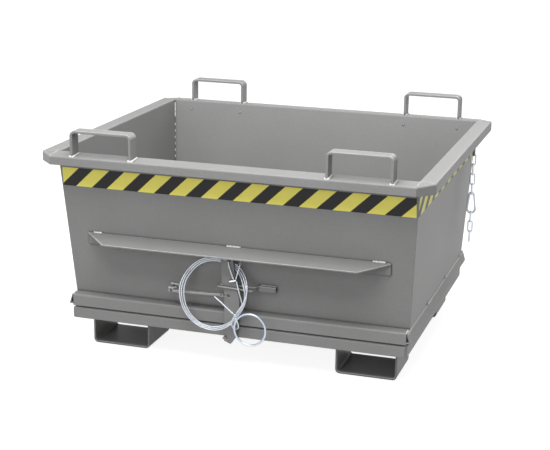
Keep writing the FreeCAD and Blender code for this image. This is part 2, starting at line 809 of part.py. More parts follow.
lever_outline = [
    ("pivot_x - 0.475 * lever_width", "pivot_height + lever_head", "lever_head_corner"),
    on_lever(-0.35, 0.293),
    on_lever(-0.15, 0.385),
    ("catch_right - tooth_reach", "catch_top + 3 * catch_sheet"),
    ("catch_right + catch_sheet / 2", "catch_top + catch_sheet / 2"),
    ("catch_right + catch_sheet / 2", "catch_under - seat_gap"),
    ("catch_right - tooth_reach", "catch_under - seat_gap"),
    ("catch_right - tooth_reach", "catch_under - 0.9 * catch_sheet"),
    on_lever(0.4, 1) + ("catch_sheet",),
    on_lever(0.775, 0.92) + ("2 * catch_sheet",),
    on_lever(1.12, 0.49) + ("2 * lever_width",),
    on_lever(0.86, 0.34) + ("lever_width",),
    on_lever(0.56, 0.07),
    ("pivot_x + 0.525 * lever_width", "pivot_height + lever_head", "lever_head_corner"),
]
pad(lever, "Y", "-(lever_front)", "-lever_back", lever_outline)
through = (f"-(lever_front) - {OVERRUN}", f"-lever_back + {OVERRUN}")
cut(lever, "Y", *through, centre=("pivot_x", "pivot_height"),
    diameter="bolt_diameter + 2 * bolt_clearance")
cut(lever, "Y", *through, centre=("rope_hole_x", "rope_hole_height"), diameter="rope_hole_diameter")
SPRING_HOLE_SHARES = (0.1875, 0.4452)
spring_hole = on_lever(*SPRING_HOLE_SHARES)
cut(lever, "Y", *through, centre=spring_hole, diameter="spring_hole_diameter")

boss = new_body("lever_boss")
shelf_across = "shelf_sheet * sqrt(1 + front_lean ^ 2)"
pad(boss, "Y", "-lever_back + seat_gap", f"-foot_depth / 2", centre=("pivot_x", "pivot_height"),
    diameter="boss_diameter")
low, high = "pivot_height - boss_diameter", "pivot_height + boss_diameter"
behind = [
    (f"-{front_face(f'({low})')} - {shelf_across}", low),
    (f"-{front_face(f'({high})')} - {shelf_across}", high),
    ("0", high),
    ("0", low),
]
cut(boss, "X", "pivot_x - boss_diameter", "pivot_x + boss_diameter", behind)
cut(boss, "Y", f"-lever_back - {OVERRUN}", "-lever_back + bolt_grip + seat_gap",
    centre=("pivot_x", "pivot_height"), diameter="bolt_diameter + seat_gap")

washer = new_body("lever_pivot_washer")
washer_face = "-(lever_front) - seat_gap"
pad(washer, "Y", f"{washer_face} - washer_sheet", washer_face, centre=("pivot_x", "pivot_height"),
    diameter="washer_diameter")
cut(washer, "Y", f"{washer_face} - 2 * washer_sheet", f"{washer_face} + washer_sheet",
    centre=("pivot_x", "pivot_height"), diameter="bolt_diameter + seat_gap")

bolt = new_body("lever_pivot_bolt")
head_face = f"{washer_face} - washer_sheet"
hexagon = []
for index in range(6):
    turn = f"{60 * index} deg"
    hexagon.append((f"pivot_x + bolt_flats / sqrt(3) * cos({turn})",
                    f"pivot_height + bolt_flats / sqrt(3) * sin({turn})"))
pad(bolt, "Y", f"{head_face} - bolt_head", head_face, hexagon)
pad(bolt, "Y", head_face, "-lever_back + bolt_grip", centre=("pivot_x", "pivot_height"),
    diameter="bolt_diameter")

# Lever guide: a rod bent to a hairpin round the lever, welded to a tab on the wall.

tab = new_body("guide_tab")
low, high = "guide_tab_bottom", "(guide_tab_bottom + guide_tab_height)"
tab_outline = [
    (f"-{front_face(low)}", low),
    (f"-{front_face(high)}", high),
    ("-guide_tab_reach", high),
    ("-guide_tab_reach", low),
]
pad(tab, "X", "guide_tab_left", "guide_tab_left + guide_tab_length", tab_outline)

rod = value("guide_rod")
guide_front, guide_back = value("guide_front"), value("guide_back")
bow = (guide_front - guide_back) / 2
tab_left, guide_turn = value("guide_tab_left"), value("guide_turn")
guide_height = value("guide_height")
end_y = -value("guide_tab_reach") + rod
lower_z = value("guide_tab_bottom") + rod
upper_z = value("guide_tab_bottom + guide_tab_height") - rod / 2
guide_points = [
    Vector(tab_left, end_y, lower_z),
    Vector(tab_left - rod, end_y, lower_z),
    Vector(guide_turn, -guide_front, guide_height - rod),
    Vector(value("guide_left"), -guide_front, guide_height),
    Vector(value("guide_left"), -guide_back, guide_height),
    Vector(guide_turn, -guide_back, guide_height),
    Vector(tab_left - rod, end_y, upper_z),
    Vector(tab_left, end_y, upper_z),
]
guide_radii = [rod * 0.8, 1.5 * rod, bow, bow, 1.5 * rod, rod * 0.8]
guide_edges = bar_edges(guide_points, guide_radii)
GUIDE_STEP = 28
add_solid("lever_guide", mitred_bar(bent_points(guide_edges, GUIDE_STEP), rod, 6))

# Spring anchor: a short rod standing out from the front wall.

anchor = new_body("spring_anchor")
pad(anchor, "Y", "-anchor_reach", "-foot_depth / 2", centre=("anchor_x", "anchor_height"),
    diameter="anchor_rod")
low, high = "anchor_height - anchor_rod", "anchor_height + anchor_rod"
behind = [
    (f"-{front_face(f'({low})')}", low),
    (f"-{front_face(f'({high})')}", high),
    ("0", high),
    ("0", low),
]
cut(anchor, "X", "anchor_x - anchor_rod", "anchor_x + anchor_rod", behind)

# Tension spring: one wire from a loop round the anchor to a hook through the lever.


def biarc(first, first_way, last, last_way):
    """Two arcs that join two places with given directions."""
    chord = last - first
    both = first_way + last_way
    spread = 2 * (1 - first_way.dot(last_way))
    slope = 2 * chord.dot(both)
    reach = (-slope + math.sqrt(slope * slope + 4 * spread * chord.dot(chord))) / (2 * spread)
    knee, heel = first + first_way * reach, last - last_way * reach
    joint = (knee + heel) / 2
    return [tangent_arc(first, knee, joint), tangent_arc(joint, heel, last)]


def tangent_arc(first, knee, last):
    middle = (first + last) / 2
    half_chord = (last - first).Length / 2
    height = (knee - middle).Length
    swing = math.atan2(height, half_chord)
    crown = middle + (knee - middle) * (half_chord * math.tan(swing / 2) / height)
    return Part.Arc(first, crown, last).toShape()


def wound(places, ways):
    """A wire of biarcs through places, with the direction at each."""
    edges = []
    for index in range(len(places) - 1):
        edges += biarc(places[index], ways[index], places[index + 1], ways[index + 1])
    return edges


def least_gap(place, sweep, turn, diameter, count=720):
    """The least clear distance between turns of a winding, measured on points."""
    points = [place(sweep * index / count) for index in range(count + 1)]
    apart = int(count * turn / sweep / 2)
    least = None
    for index, point in enumerate(points):
        for other in points[index + apart:]:
            distance = point.distanceToPoint(other)
            if least is None or distance < least:
                least = distance
    return least - diameter


spring_wire = value("spring_wire")
spring_radius = value("(spring_diameter - spring_wire) / 2")
spring_y = value("spring_y")
anchor_place = Vector(value("anchor_x"), spring_y, value("anchor_height"))
hook_place = Vector(value(spring_hole[0]), spring_y, value(spring_hole[1]))
spring_way = (hook_place - anchor_place).normalize()
spring_up = Vector(0, -1, 0).cross(spring_way).normalize() * -1
spring_front = Vector(0, -1, 0)
coil_length = value("spring_pitch * spring_turns")
loop_radius = value("anchor_rod / 2 + spring_wire / 2 + seat_gap")
coil_start = anchor_place + spring_way * (loop_radius + 2 * spring_wire)


def spring_point(turns):
    angle = 2 * math.pi * turns
    middle = coil_start + spring_way * (value("spring_pitch") * turns)
    return middle + (spring_up * math.cos(angle) + spring_front * math.sin(angle)) * spring_radius


def spring_tangent(turns):
    angle = 2 * math.pi * turns
    around = (spring_front * math.cos(angle) - spring_up * math.sin(angle)) * (2 * math.pi * spring_radius)
    return (around + spring_way * value("spring_pitch")).normalize()


half_turns = [index / 2 for index in range(2 * SIZES["spring_turns"] + 1)]
coil_edges = wound([spring_point(turns) for turns in half_turns],
                   [spring_tangent(turns) for turns in half_turns])

loop_top = anchor_place + spring_up * loop_radius
loop_left = anchor_place - spring_way * loop_radius
loop_foot = anchor_place - spring_up * loop_radius
loop_edges = wound([loop_foot, loop_left, loop_top], [spring_way * -1, spring_up, spring_way])
lead_in = biarc(loop_top, spring_way, spring_point(0), spring_tangent(0))

hook_front = Vector(hook_place.x, -value("lever_front + spring_wire / 2 + seat_gap"), hook_place.z)
last = half_turns[-1]
reach_way = Vector(1, 0, 0)
shank = hook_front - reach_way * (2.5 * spring_wire)
hook_out = biarc(spring_point(last), spring_tangent(last), shank, reach_way)
hook_turn = biarc(shank, reach_way, hook_front + Vector(0, 1.5 * spring_wire, 0), Vector(0, 1, 0))
hook_end = hook_front + Vector(0, value("lever_sheet") + 2 * spring_wire, 0)
hook_tip = [Part.LineSegment(hook_front + Vector(0, 1.5 * spring_wire, 0), hook_end).toShape()]
spring_path = Part.Wire(loop_edges + lead_in + coil_edges + hook_out + hook_turn + hook_tip)
add_solid("tension_spring", faceted_tube(spring_path, spring_wire, 4))
spring_gap = least_gap(spring_point, SIZES["spring_turns"], 1, spring_wire)
print("spring: least gap between turns", round(spring_gap, 2))

# Pull rope: an eye through the lever, a ferrule, a hanging coil, a knot, a loop and a pull ring.

rope = value("rope_diameter")
coil_middle = Vector(value("coil_x"), 0, value("coil_height"))
COIL_START, COIL_SWEEP, LEAD_OUT = -22, 1084, 60
KNOT_ANGLE, KNOT_WIDTH, KNOT_TURN = -31, 75, 72
BEHIND_ANGLE, BEHIND_HALF = 93, 44
BEHIND_RAMP = 30
KNOT_PLACE = (34, -38, -161)
rope_hole = Vector(value("rope_hole_x"), -value("lever_front"), value("rope_hole_height"))
knot = rope_hole + Vector(*KNOT_PLACE)
knot_radius = value("knot_diameter / 2")
knot_entry = knot + Vector(0.44, 0, 0.9) * knot_radius


def smooth(share):
    share = min(1, max(0, share))
    return share * share * (3 - 2 * share)


def around(angle, middle):
    """How far an angle is from another, between nothing and half a turn."""
    return abs((angle - middle + 180) % 360 - 180)


def winding_point(swept):
    angle = COIL_START - swept
    turn = math.radians(KNOT_TURN) * smooth(1 - around(angle, KNOT_ANGLE) / KNOT_WIDTH)
    spread = value("coil_growth") * swept / 360
    radius = value("coil_inner_radius") + spread * math.cos(turn)
    front = -value("coil_front") - spread * math.sin(turn)
    behind = smooth((BEHIND_HALF + BEHIND_RAMP - around(angle, BEHIND_ANGLE)) / BEHIND_RAMP)
    depth = front + (-value("coil_behind") - front) * behind
    way = Vector(math.cos(math.radians(angle)), 0, math.sin(math.radians(angle)))
    return coil_middle + way * radius + Vector(0, depth, 0)


def rope_coil_point(swept):
    """A place on the winding, whose last stretch leads out to the knot."""
    led_out = smooth((swept - COIL_SWEEP + LEAD_OUT) / LEAD_OUT)
    return winding_point(swept) + (knot_entry - winding_point(COIL_SWEEP)) * led_out


def way_at(place, step=0.5):
    return lambda swept: (place(swept + step) - place(swept - step)).normalize()


COIL_STEPS = 48
coil_steps = [COIL_SWEEP * index / COIL_STEPS for index in range(COIL_STEPS + 1)]
coil_way = way_at(rope_coil_point)
coil_wire = Part.Wire(wound([rope_coil_point(step) for step in coil_steps],
                            [coil_way(step) for step in coil_steps]))
rope_coil = faceted_tube(coil_wire, rope, 4)
add_solid("rope_coil", rope_coil)


print("rope coil: least gap between turns", round(least_gap(rope_coil_point, COIL_SWEEP, 360, rope), 2))


def cord_radii(points):
    """The largest arc that each inner point of a cord leaves room for."""
    radii = []
    for index in range(1, len(points) - 1):
        back = points[index - 1] - points[index]
        ahead = points[index + 1] - points[index]
        turn = math.pi - back.getAngle(ahead)
        radii.append(0.45 * min(back.Length, ahead.Length) / math.tan(turn / 2))
    return radii


ROPE_EYE = [
    (23.5, -6, -55.8), (27, -7.5, -44), (31, -7.5, -30), (35, -5, -16), (36.5, 3, -4),
    (30, 13, 6), (17, 17.2, 9.5), (4, 15, 4), (0, 5, 0), (-1, -4, -3.5),
    (0.5, -6, -13), (4.5, -6, -26), (10, -6, -40), (16.5, -6, -57.6),
]
ROPE_LEAD = [
    (26.5, -6, -62), (29.5, -9.5, -71), (33.5, -14, -81), (38, -16, -93), (42.5, -16, -108),
    (46.2, -15.2, -123), (48.5, -14.3, -137.8), (44.8, -14.3, -147.1),
]
ROPE_LOOP = [
    (35, -38.5, -168), (39.5, -41, -176), (44.5, -40.5, -186), (45, -38, -197.5), (38.5, -32, -206),
    (30, -26.8, -210), (22, -27.8, -204.5), (19.5, -30.5, -192), (22, -33.5, -178), (29, -37, -166.5),
]
ROPE_TAIL = [
    (28.5, -39, -156.5), (13, -35.5, -146.5), (-7, -31, -133), (-23, -27.5, -122), (-39, -24.5, -112),
]

ferrule_axis = Vector(22, 0, 6).normalize()
FERRULE_START = (3, -6, -65)
ferrule_start = rope_hole + Vector(*FERRULE_START)
ferrule = Part.makeCylinder(value("ferrule_diameter / 2"), value("ferrule_length"), ferrule_start,
                            ferrule_axis)
add_solid("rope_ferrule", ferrule)
cords = {}
ROPE_STEP = 12
for label, route in (("rope_eye", ROPE_EYE), ("rope_lead", ROPE_LEAD), ("rope_loop", ROPE_LOOP),
                     ("rope_tail", ROPE_TAIL)):
    points = [rope_hole + Vector(*point) for point in route]
    radii = cord_radii(points)
    edges = bar_edges(points, radii)
    cords[label] = mitred_bar(bent_points(edges, ROPE_STEP), rope, 4).cut(ferrule)
    add_solid(label, cords[label])
    length = sum(edge.Length for edge in edges)
    print(label, "length", round(length, 1), "radii", [round(radius, 1) for radius in radii])
print("rope coil: length", round(coil_wire.Length, 1))

knot_rise = Vector(0, 0, knot_radius)
ball = mitred_bar([knot - knot_rise, knot + knot_rise], 2 * knot_radius, 8)
ends = [edge for edge in ball.Edges if abs(edge.tangentAt(edge.FirstParameter).z) < 0.5]
ball = ball.makeChamfer(0.4 * knot_radius, ends)
add_solid("rope_knot", ball.cut([rope_coil, cords["rope_loop"], cords["rope_tail"]]))
ring_radius = value("(ring_diameter - ring_wire) / 2")
ring_middle = Vector(value("ring_x"), value("ring_y"), value("ring_height"))
RING_CUTS = 30
ring_points = bow_points(ring_middle, Vector(ring_radius, 0, 0), Vector(0, 0, ring_radius), RING_CUTS,
                         finish=2 * math.pi)
add_solid("pull_ring", mitred_loop(ring_points[:-1], value("ring_wire"), 6))

# Safety chain at the right wall: anchor eye, links, snap hook with gate, and a tail.

chain_x, chain_y = value("chain_x"), value("chain_y")
link_wire = value("link_wire")


BOW_CUTS = 6


def chain_link(middle, long_way, wide_way):
    """One welded link, drawn as two bows and two straights."""
    bow = value("(link_width - link_wire) / 2")
    straight = long_way * value("(link_length - link_width) / 2")
    upper = bow_points(middle + straight, wide_way * bow, long_way * bow, BOW_CUTS)
    lower = bow_points(middle - straight, wide_way * -bow, long_way * -bow, BOW_CUTS)
    return mitred_loop(upper + lower, link_wire, 6)


down, right, rear = Vector(0, 0, -1), Vector(1, 0, 0), Vector(0, 1, 0)
link_half = value("link_length / 2")
link_pitch = value("link_pitch")
links = []
for index in range(4):
    middle = Vector(chain_x, chain_y, value("chain_top") - link_half - index * link_pitch)
    links.append(chain_link(middle, down * -1, right if index % 2 == 0 else rear))
add_solid("chain_links", Part.makeCompound(links))

eye_wire = value("anchor_eye_wire")
eye_half = value("(anchor_eye_width - anchor_eye_wire) / 2")
eye_bottom = value("chain_top - link_wire - seat_gap - anchor_eye_wire / 2")
eye_top = value("side_rim_edge - sheet")
eye_middle = Vector(chain_x, chain_y, eye_bottom + eye_half)
eye_points = bow_points(eye_middle, Vector(0, eye_half, 0), Vector(0, 0, -eye_half), BOW_CUTS)
eye_points.insert(0, Vector(chain_x, chain_y + eye_half, eye_top))
eye_points.append(Vector(chain_x, chain_y - eye_half, eye_top))
add_solid("chain_anchor", mitred_bar(eye_points, eye_wire, 6))

hook_wire = value("hook_wire")
last_link_bottom = value("chain_top - link_length - 3 * link_pitch")
hook_top = last_link_bottom + value("link_wire + seat_gap + hook_wire")
top_radius, bow_radius = value("hook_top_radius"), value("hook_bow_radius")
top_middle = Vector(chain_x, chain_y, hook_top - hook_wire / 2 - top_radius)
bow_middle = Vector(chain_x, chain_y, hook_top - value("hook_length - hook_wire / 2") + bow_radius)
lean = math.asin((bow_radius - top_radius) / (top_middle.z - bow_middle.z))


def on_bow(middle, radius, angle):
    return middle + Vector(math.cos(angle), 0, math.sin(angle)) * radius


def hook_bow(middle, radius, start, finish):
    return bow_points(middle, right * radius, Vector(0, 0, radius), BOW_CUTS, start, finish)


gate_low = on_bow(bow_middle, bow_radius, lean)
gate_high = on_bow(top_middle, top_radius, lean)
gate_way = (gate_high - gate_low).normalize()
gate_foot = gate_low + gate_way * (hook_wire / 8)
gate_stop = gate_high - gate_way * (hook_wire / 8)
hook_points = [gate_foot]
hook_points += hook_bow(bow_middle, bow_radius, lean, -math.pi - lean)
hook_points += hook_bow(top_middle, top_radius, math.pi - lean, lean)
hook_points.append(gate_stop)
hook = mitred_bar(hook_points, hook_wire, 6)
gate_radius = value("gate_wire / 2")
cheek = value("gate_cheek")
pivot = gate_foot + gate_way * value("gate_wire / 2 + seat_gap")
for side in (-1, 1):
    offset = side * (gate_radius + value("seat_gap") + cheek / 2) - cheek / 2
    plate = Part.makeCylinder(gate_radius, cheek, Vector(pivot.x, chain_y + offset, pivot.z), rear)
    arm = Part.makeBox(2 * gate_radius, cheek, 2 * gate_radius + hook_wire / 2,
                       Vector(-gate_radius, 0, -2 * gate_radius - hook_wire / 2))
    arm.Placement = Placement(Vector(pivot.x, chain_y + offset, pivot.z),
                              Rotation(Vector(0, 0, 1), gate_way)).multiply(arm.Placement)
    hook = hook.fuse(plate.fuse(arm))
pin_radius = value("gate_pin_diameter / 2")
pin_length = 2 * (gate_radius + value("seat_gap") + cheek)
pin_start = Vector(pivot.x, chain_y - pin_length / 2, pivot.z)
hook = hook.cut(Part.makeCylinder(pin_radius, pin_length, pin_start, rear))
add_solid("snap_hook", hook.removeSplitter())

gate_end = gate_stop - gate_way * value("seat_gap")
knuckle_start = Vector(pivot.x, chain_y - gate_radius, pivot.z)
gate = mitred_bar([pivot, gate_end], 2 * gate_radius, 6)
gate = gate.fuse(Part.makeCylinder(gate_radius, 2 * gate_radius, knuckle_start, rear))
gate = gate.cut(Part.makeCylinder(pin_radius + value("seat_gap"), pin_length, pin_start, rear))
add_solid("hook_gate", gate)
add_solid("gate_pin", Part.makeCylinder(pin_radius, pin_length, pin_start, rear))

tail_top = hook_top - value("hook_length - hook_wire - seat_gap - link_wire")
tail = []
for index in range(3):
    middle = Vector(chain_x, chain_y, tail_top - link_half - index * link_pitch)
    tail.append(chain_link(middle, down * -1, rear if index % 2 == 0 else right))
add_solid("chain_tail", Part.makeCompound(tail))

doc.recompute()
for item in doc.Objects:
    if "Invalid" in item.State or "Error" in item.State:
        raise RuntimeError(f"{item.Label} is {item.State}")
for item in subparts:
    if item.Shape.isNull() or not item.Shape.isValid():
        raise RuntimeError(f"{item.Label} has no valid shape")

os.makedirs("parts", exist_ok=True)
for item in subparts:
    item.Shape.exportStep(f"parts/{item.Label}.step")
print(len(subparts), "sub-parts")
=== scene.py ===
import math
from itertools import product

import bpy
from mathutils import Matrix, Vector


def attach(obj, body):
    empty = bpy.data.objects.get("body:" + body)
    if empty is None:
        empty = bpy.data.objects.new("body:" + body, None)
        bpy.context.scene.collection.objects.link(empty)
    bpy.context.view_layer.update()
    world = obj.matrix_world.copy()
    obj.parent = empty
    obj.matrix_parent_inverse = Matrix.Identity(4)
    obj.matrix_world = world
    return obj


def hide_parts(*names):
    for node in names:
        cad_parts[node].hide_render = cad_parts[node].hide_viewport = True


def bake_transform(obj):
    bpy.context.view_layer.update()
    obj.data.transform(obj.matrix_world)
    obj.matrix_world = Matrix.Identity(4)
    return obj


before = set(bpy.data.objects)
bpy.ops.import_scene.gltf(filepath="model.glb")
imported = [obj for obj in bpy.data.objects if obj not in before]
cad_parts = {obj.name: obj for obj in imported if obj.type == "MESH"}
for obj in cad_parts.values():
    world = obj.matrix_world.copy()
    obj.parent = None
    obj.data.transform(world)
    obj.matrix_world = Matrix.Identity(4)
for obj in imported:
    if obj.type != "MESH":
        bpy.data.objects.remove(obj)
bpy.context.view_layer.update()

# Camera. It stands at the photograph's viewpoint: ahead of the container and to its right, a little
# above the rim, with a long lens. The photograph's frame is 550 x 450.
PHOTO_WIDTH = 550
FOCAL_PIXELS = 1362.91
SENSOR_WIDTH = 36
CAMERA_PLACE = (1.32406, -4.23915, 1.57479)
CAMERA_YAW, CAMERA_PITCH, CAMERA_ROLL = 17.54, 15.48, 0.825

lens = bpy.data.cameras.new("camera")
lens.sensor_width = SENSOR_WIDTH
lens.lens = FOCAL_PIXELS * SENSOR_WIDTH / PHOTO_WIDTH
camera = bpy.data.objects.new("camera", lens)
bpy.context.collection.objects.link(camera)
camera.matrix_world = (
    Matrix.Translation(CAMERA_PLACE)
    @ Matrix.Rotation(math.radians(CAMERA_YAW), 4, "Z")
    @ Matrix.Rotation(math.radians(90 - CAMERA_PITCH), 4, "X")
    @ Matrix.Rotation(math.radians(CAMERA_ROLL), 4, "Z")
)
bpy.context.scene.camera = camera

# Pull rope. Zinc-coated steel wire rope of 4 mm: six strands laid round each other, bright on their
# crowns, with painted shade darkening the valleys between them. An eye goes through the lever and back
# into a pressed ferrule, the long end hangs in a coil over the lever, and the rest goes through the pull
# ring.
MM = 0.001


def linear(hex_colour):
    """A written sRGB colour as the linear colour that a shader takes."""
    parts = [int(hex_colour[i:i + 2], 16) / 255 for i in (1, 3, 5)]
    return [c / 12.92 if c <= 0.04045 else ((c + 0.055) / 1.055) ** 2.4 for c in parts] + [1]


def new_finish(name):
    """A new material, with its shader node."""
    material = bpy.data.materials.new(name)
    material.use_nodes = True
    return material, material.node_tree.nodes["Principled BSDF"]


def add_node(material, kind, settings=None, links=None):
    """A node with its settings and the sockets that feed it."""
    made = material.node_tree.nodes.new(kind)
    for name, value in (settings or {}).items():
        if isinstance(name, int) or name in made.inputs:
            made.inputs[name].default_value = value
        else:
            setattr(made, name, value)
    for name, source in (links or {}).items():
        material.node_tree.links.new(source, made.inputs[name])
    return made


def feed(material, shader, **sources):
    """Links sources into the shader's sockets, named with _ for a space."""
    for name, source in sources.items():
        material.node_tree.links.new(source, shader.inputs[name.replace("_", " ")])


def grain(material, size_mm, detail=2.0):
    """Cloudy noise whose lumps are about a size across, on the object's own coordinates."""
    place = add_node(material, "ShaderNodeTexCoord")
    return add_node(
        material, "ShaderNodeTexNoise",
        {"Scale": 1 / (size_mm * MM), "Detail": detail},
        {"Vector": place.outputs["Object"]},
    )


def mottled(material, noise, dark, pale):
    """A colour that drifts between two tones with a noise."""
    tone = add_node(
        material, "ShaderNodeMix", {"data_type": "RGBA", 6: linear(dark), 7: linear(pale)},
        {0: noise.outputs["Fac"]},
    )
    return tone.outputs[2]


def drifting(material, noise, low, high):
    """A value that drifts between two with a noise."""
    spread = add_node(
        material, "ShaderNodeMapRange", {"To Min": low, "To Max": high}, {"Value": noise.outputs["Fac"]},
    )
    return spread.outputs[0]


# Galvanised wire: a cool white metal, slightly dull, with faint spangle, and painted shade where strands
# meet.
VALLEY_SHADE_REACH = 1.3 * MM

galvanised_wire, shader = new_finish("galvanised_steel_wire")
shader.inputs["Metallic"].default_value = 0.7
spangle = grain(galvanised_wire, size_mm=3)
painted_valley_shade = add_node(
    galvanised_wire, "ShaderNodeAmbientOcclusion", {"samples": 6, "Distance": VALLEY_SHADE_REACH},
    {"Color": mottled(galvanised_wire, spangle, "#D3DBE8", "#F8FBFF")},
)
feed(
    galvanised_wire, shader, Base_Color=painted_valley_shade.outputs["Color"],
    Roughness=drifting(galvanised_wire, spangle, 0.28, 0.44),
)

ROPE_DIAMETER = 4 * MM
STRANDS = 6
STRAND_DIAMETER = 1.36 * MM
STRAND_LAY = 28 * MM
STRAND_SIDES = 5
rope_hole = Vector((-10, -478, 355)) * MM
LINE_STEPS = 8


def rope_line(name, points):
    """The rope's centre line: a smooth spline that has the route's points as its control points."""
    curve = bpy.data.curves.new(name, "CURVE")
    curve.dimensions = "3D"
    curve.resolution_u = LINE_STEPS
    spline = curve.splines.new("NURBS")
    spline.points.add(len(points) - 1)
    for control, place in zip(spline.points, points):
        control.co = (*place, 1)
    spline.order_u = 3
    spline.use_endpoint_u = True
    holder = bpy.data.objects.new(name, curve)
    line = bpy.data.meshes.new_from_object(holder)
    path = [vertex.co.copy() for vertex in line.vertices]
    bpy.data.objects.remove(holder)
    bpy.data.meshes.remove(line)
    return path


def lengths_along(path):
    """A path's length up to each of its places."""
    lengths = [0]
    for near, far in zip(path, path[1:]):
        lengths.append(lengths[-1] + (far - near).length)
    return lengths


def even_steps(path, step):
    """Places along a path at even steps, with the path's own two ends."""
    lengths = lengths_along(path)
    count = max(2, round(lengths[-1] / step))
    places, run = [], 0
    for index in range(count + 1):
        reach = lengths[-1] * index / count
        while run < len(lengths) - 2 and lengths[run + 1] < reach:
            run += 1
        share = (reach - lengths[run]) / (lengths[run + 1] - lengths[run])
        places.append(path[run].lerp(path[run + 1], share))
    return places


def carried_frames(path):
    """Two directions across the path at each place, carried along without twist."""
    last = len(path) - 1
    ways = [(path[min(i + 1, last)] - path[max(i - 1, 0)]).normalized() for i in range(last + 1)]
    across = ways[0].orthogonal().normalized()
    frames = []
    for index, way in enumerate(ways):
        if index:
            across = ways[index - 1].rotation_difference(way) @ across
        across = (across - way * across.dot(way)).normalized()
        frames.append((across, way.cross(across)))
    return frames


def tube_mesh(name, runs, diameter, sides):
    """One mesh of closed tubes, each along its own row of places."""
    vertices, faces = [], []
    for places in runs:
        first = len(vertices)
        for place, (across, over) in zip(places, carried_frames(places)):
            for side in range(sides):
                turn = 2 * math.pi * side / sides
                vertices.append(place + (across * math.cos(turn) + over * math.sin(turn)) * (diameter / 2))
        for ring in range(len(places) - 1):
            for side in range(sides):
                here, after = first + ring * sides + side, first + ring * sides + (side + 1) % sides
                faces.append((here, after, after + sides, here + sides))
        faces.append([first + side for side in reversed(range(sides))])
        faces.append([len(vertices) - sides + side for side in range(sides)])
    mesh = bpy.data.meshes.new(name)
    mesh.from_pydata(vertices, [], faces)
    mesh.shade_smooth()
    piece = bpy.data.objects.new(name, mesh)
    bpy.context.collection.objects.link(piece)
    return piece


def laid_rope(name, path):
    """Six strands laid round a centre line."""
    frames = carried_frames(path)
    offset = (ROPE_DIAMETER - STRAND_DIAMETER) / 2
    runs = []
    for strand in range(STRANDS):
        places = []
        for place, (across, over), length in zip(path, frames, lengths_along(path)):
            turn = 2 * math.pi * (strand / STRANDS + length / STRAND_LAY)
            places.append(place + (across * math.cos(turn) + over * math.sin(turn)) * offset)
        runs.append(places)
    piece = tube_mesh(name, runs, STRAND_DIAMETER, STRAND_SIDES)
    piece.data.materials.append(galvanised_wire)
    return piece


# The routes below are the rope's route points in the CAD model, from the rope hole of the lever.
ROPE_EYE = (
    (0.0235, -0.006, -0.0558), (0.027, -0.0075, -0.044), (0.031, -0.0075, -0.03), (0.035, -0.005, -0.016),
    (0.0365, 0.003, -0.004), (0.03, 0.013, 0.006), (0.017, 0.0172, 0.0095), (0.004, 0.015, 0.004),
    (0, 0.005, 0), (-0.001, -0.004, -0.0035), (0.0005, -0.006, -0.013), (0.0045, -0.006, -0.026),
    (0.01, -0.006, -0.04), (0.0165, -0.006, -0.0576),
)
ROPE_LEAD = (
    (0.0265, -0.006, -0.062), (0.0295, -0.0095, -0.071), (0.0335, -0.014, -0.081), (0.038, -0.016, -0.093),
    (0.0425, -0.016, -0.108), (0.0462, -0.0152, -0.123), (0.0485, -0.0143, -0.1378),
)
ROPE_LOOP = (
    (0.035, -0.0385, -0.168), (0.0395, -0.041, -0.176), (0.0445, -0.0405, -0.186), (0.045, -0.038, -0.1975),
    (0.0385, -0.032, -0.206), (0.03, -0.0268, -0.21), (0.022, -0.0278, -0.2045), (0.0195, -0.0305, -0.192),
    (0.022, -0.0335, -0.178), (0.029, -0.037, -0.1665),
)
ROPE_TAIL = (
    (0.0285, -0.039, -0.1565), (0.013, -0.0355, -0.1465), (-0.007, -0.031, -0.133),
    (-0.023, -0.0275, -0.122), (-0.039, -0.0245, -0.112),
)
KNOT_PLACE = (0.034, -0.038, -0.161)
KNOT_RADIUS, KNOT_ENTRY = 0.0065, (0.44, 0, 0.9)

# The coil hangs over the lever's head and passes behind it: its turns open out by a rope's width and
# a bit, fan out at the right, sag at the foot, stand apart at the left, lie beside each other at the
# knot, and the last of them leads out into the knot. Angles are in degrees, widths reach both ways.
COIL_START, COIL_SWEEP, LEAD_OUT = -22, 1084, 60
KNOT_ANGLE, KNOT_WIDTH, KNOT_TURN = -31, 75, 72
BEHIND_ANGLE, BEHIND_HALF, BEHIND_RAMP = 93, 44, 30
COIL_RADIUS, COIL_GROWTH = 0.099, 0.0052
COIL_FRONT, COIL_BEHIND = 0.4923, 0.4657
COIL_MIDDLE = Vector((-0.057, 0, 0.245))
FAN_ANGLE, FAN_WIDTH, FAN_OUT = 18, 62, 0.009
SAG_ANGLE, SAG_WIDTH, SAG_OUT = -112, 75, 0.007
SLACK_ANGLE, SLACK_WIDTH, SLACK_IN = 178, 75, 0.0055
TURN_POINTS = 24

knot = rope_hole + Vector(KNOT_PLACE)
knot_entry = knot + Vector(KNOT_ENTRY) * KNOT_RADIUS


def smooth(share):
    """An eased step from 0 to 1."""
    share = min(1, max(0, share))
    return share * share * (3 - 2 * share)


def around(angle, middle):
    """How far an angle is from another, in degrees."""
    return abs((angle - middle + 180) % 360 - 180)


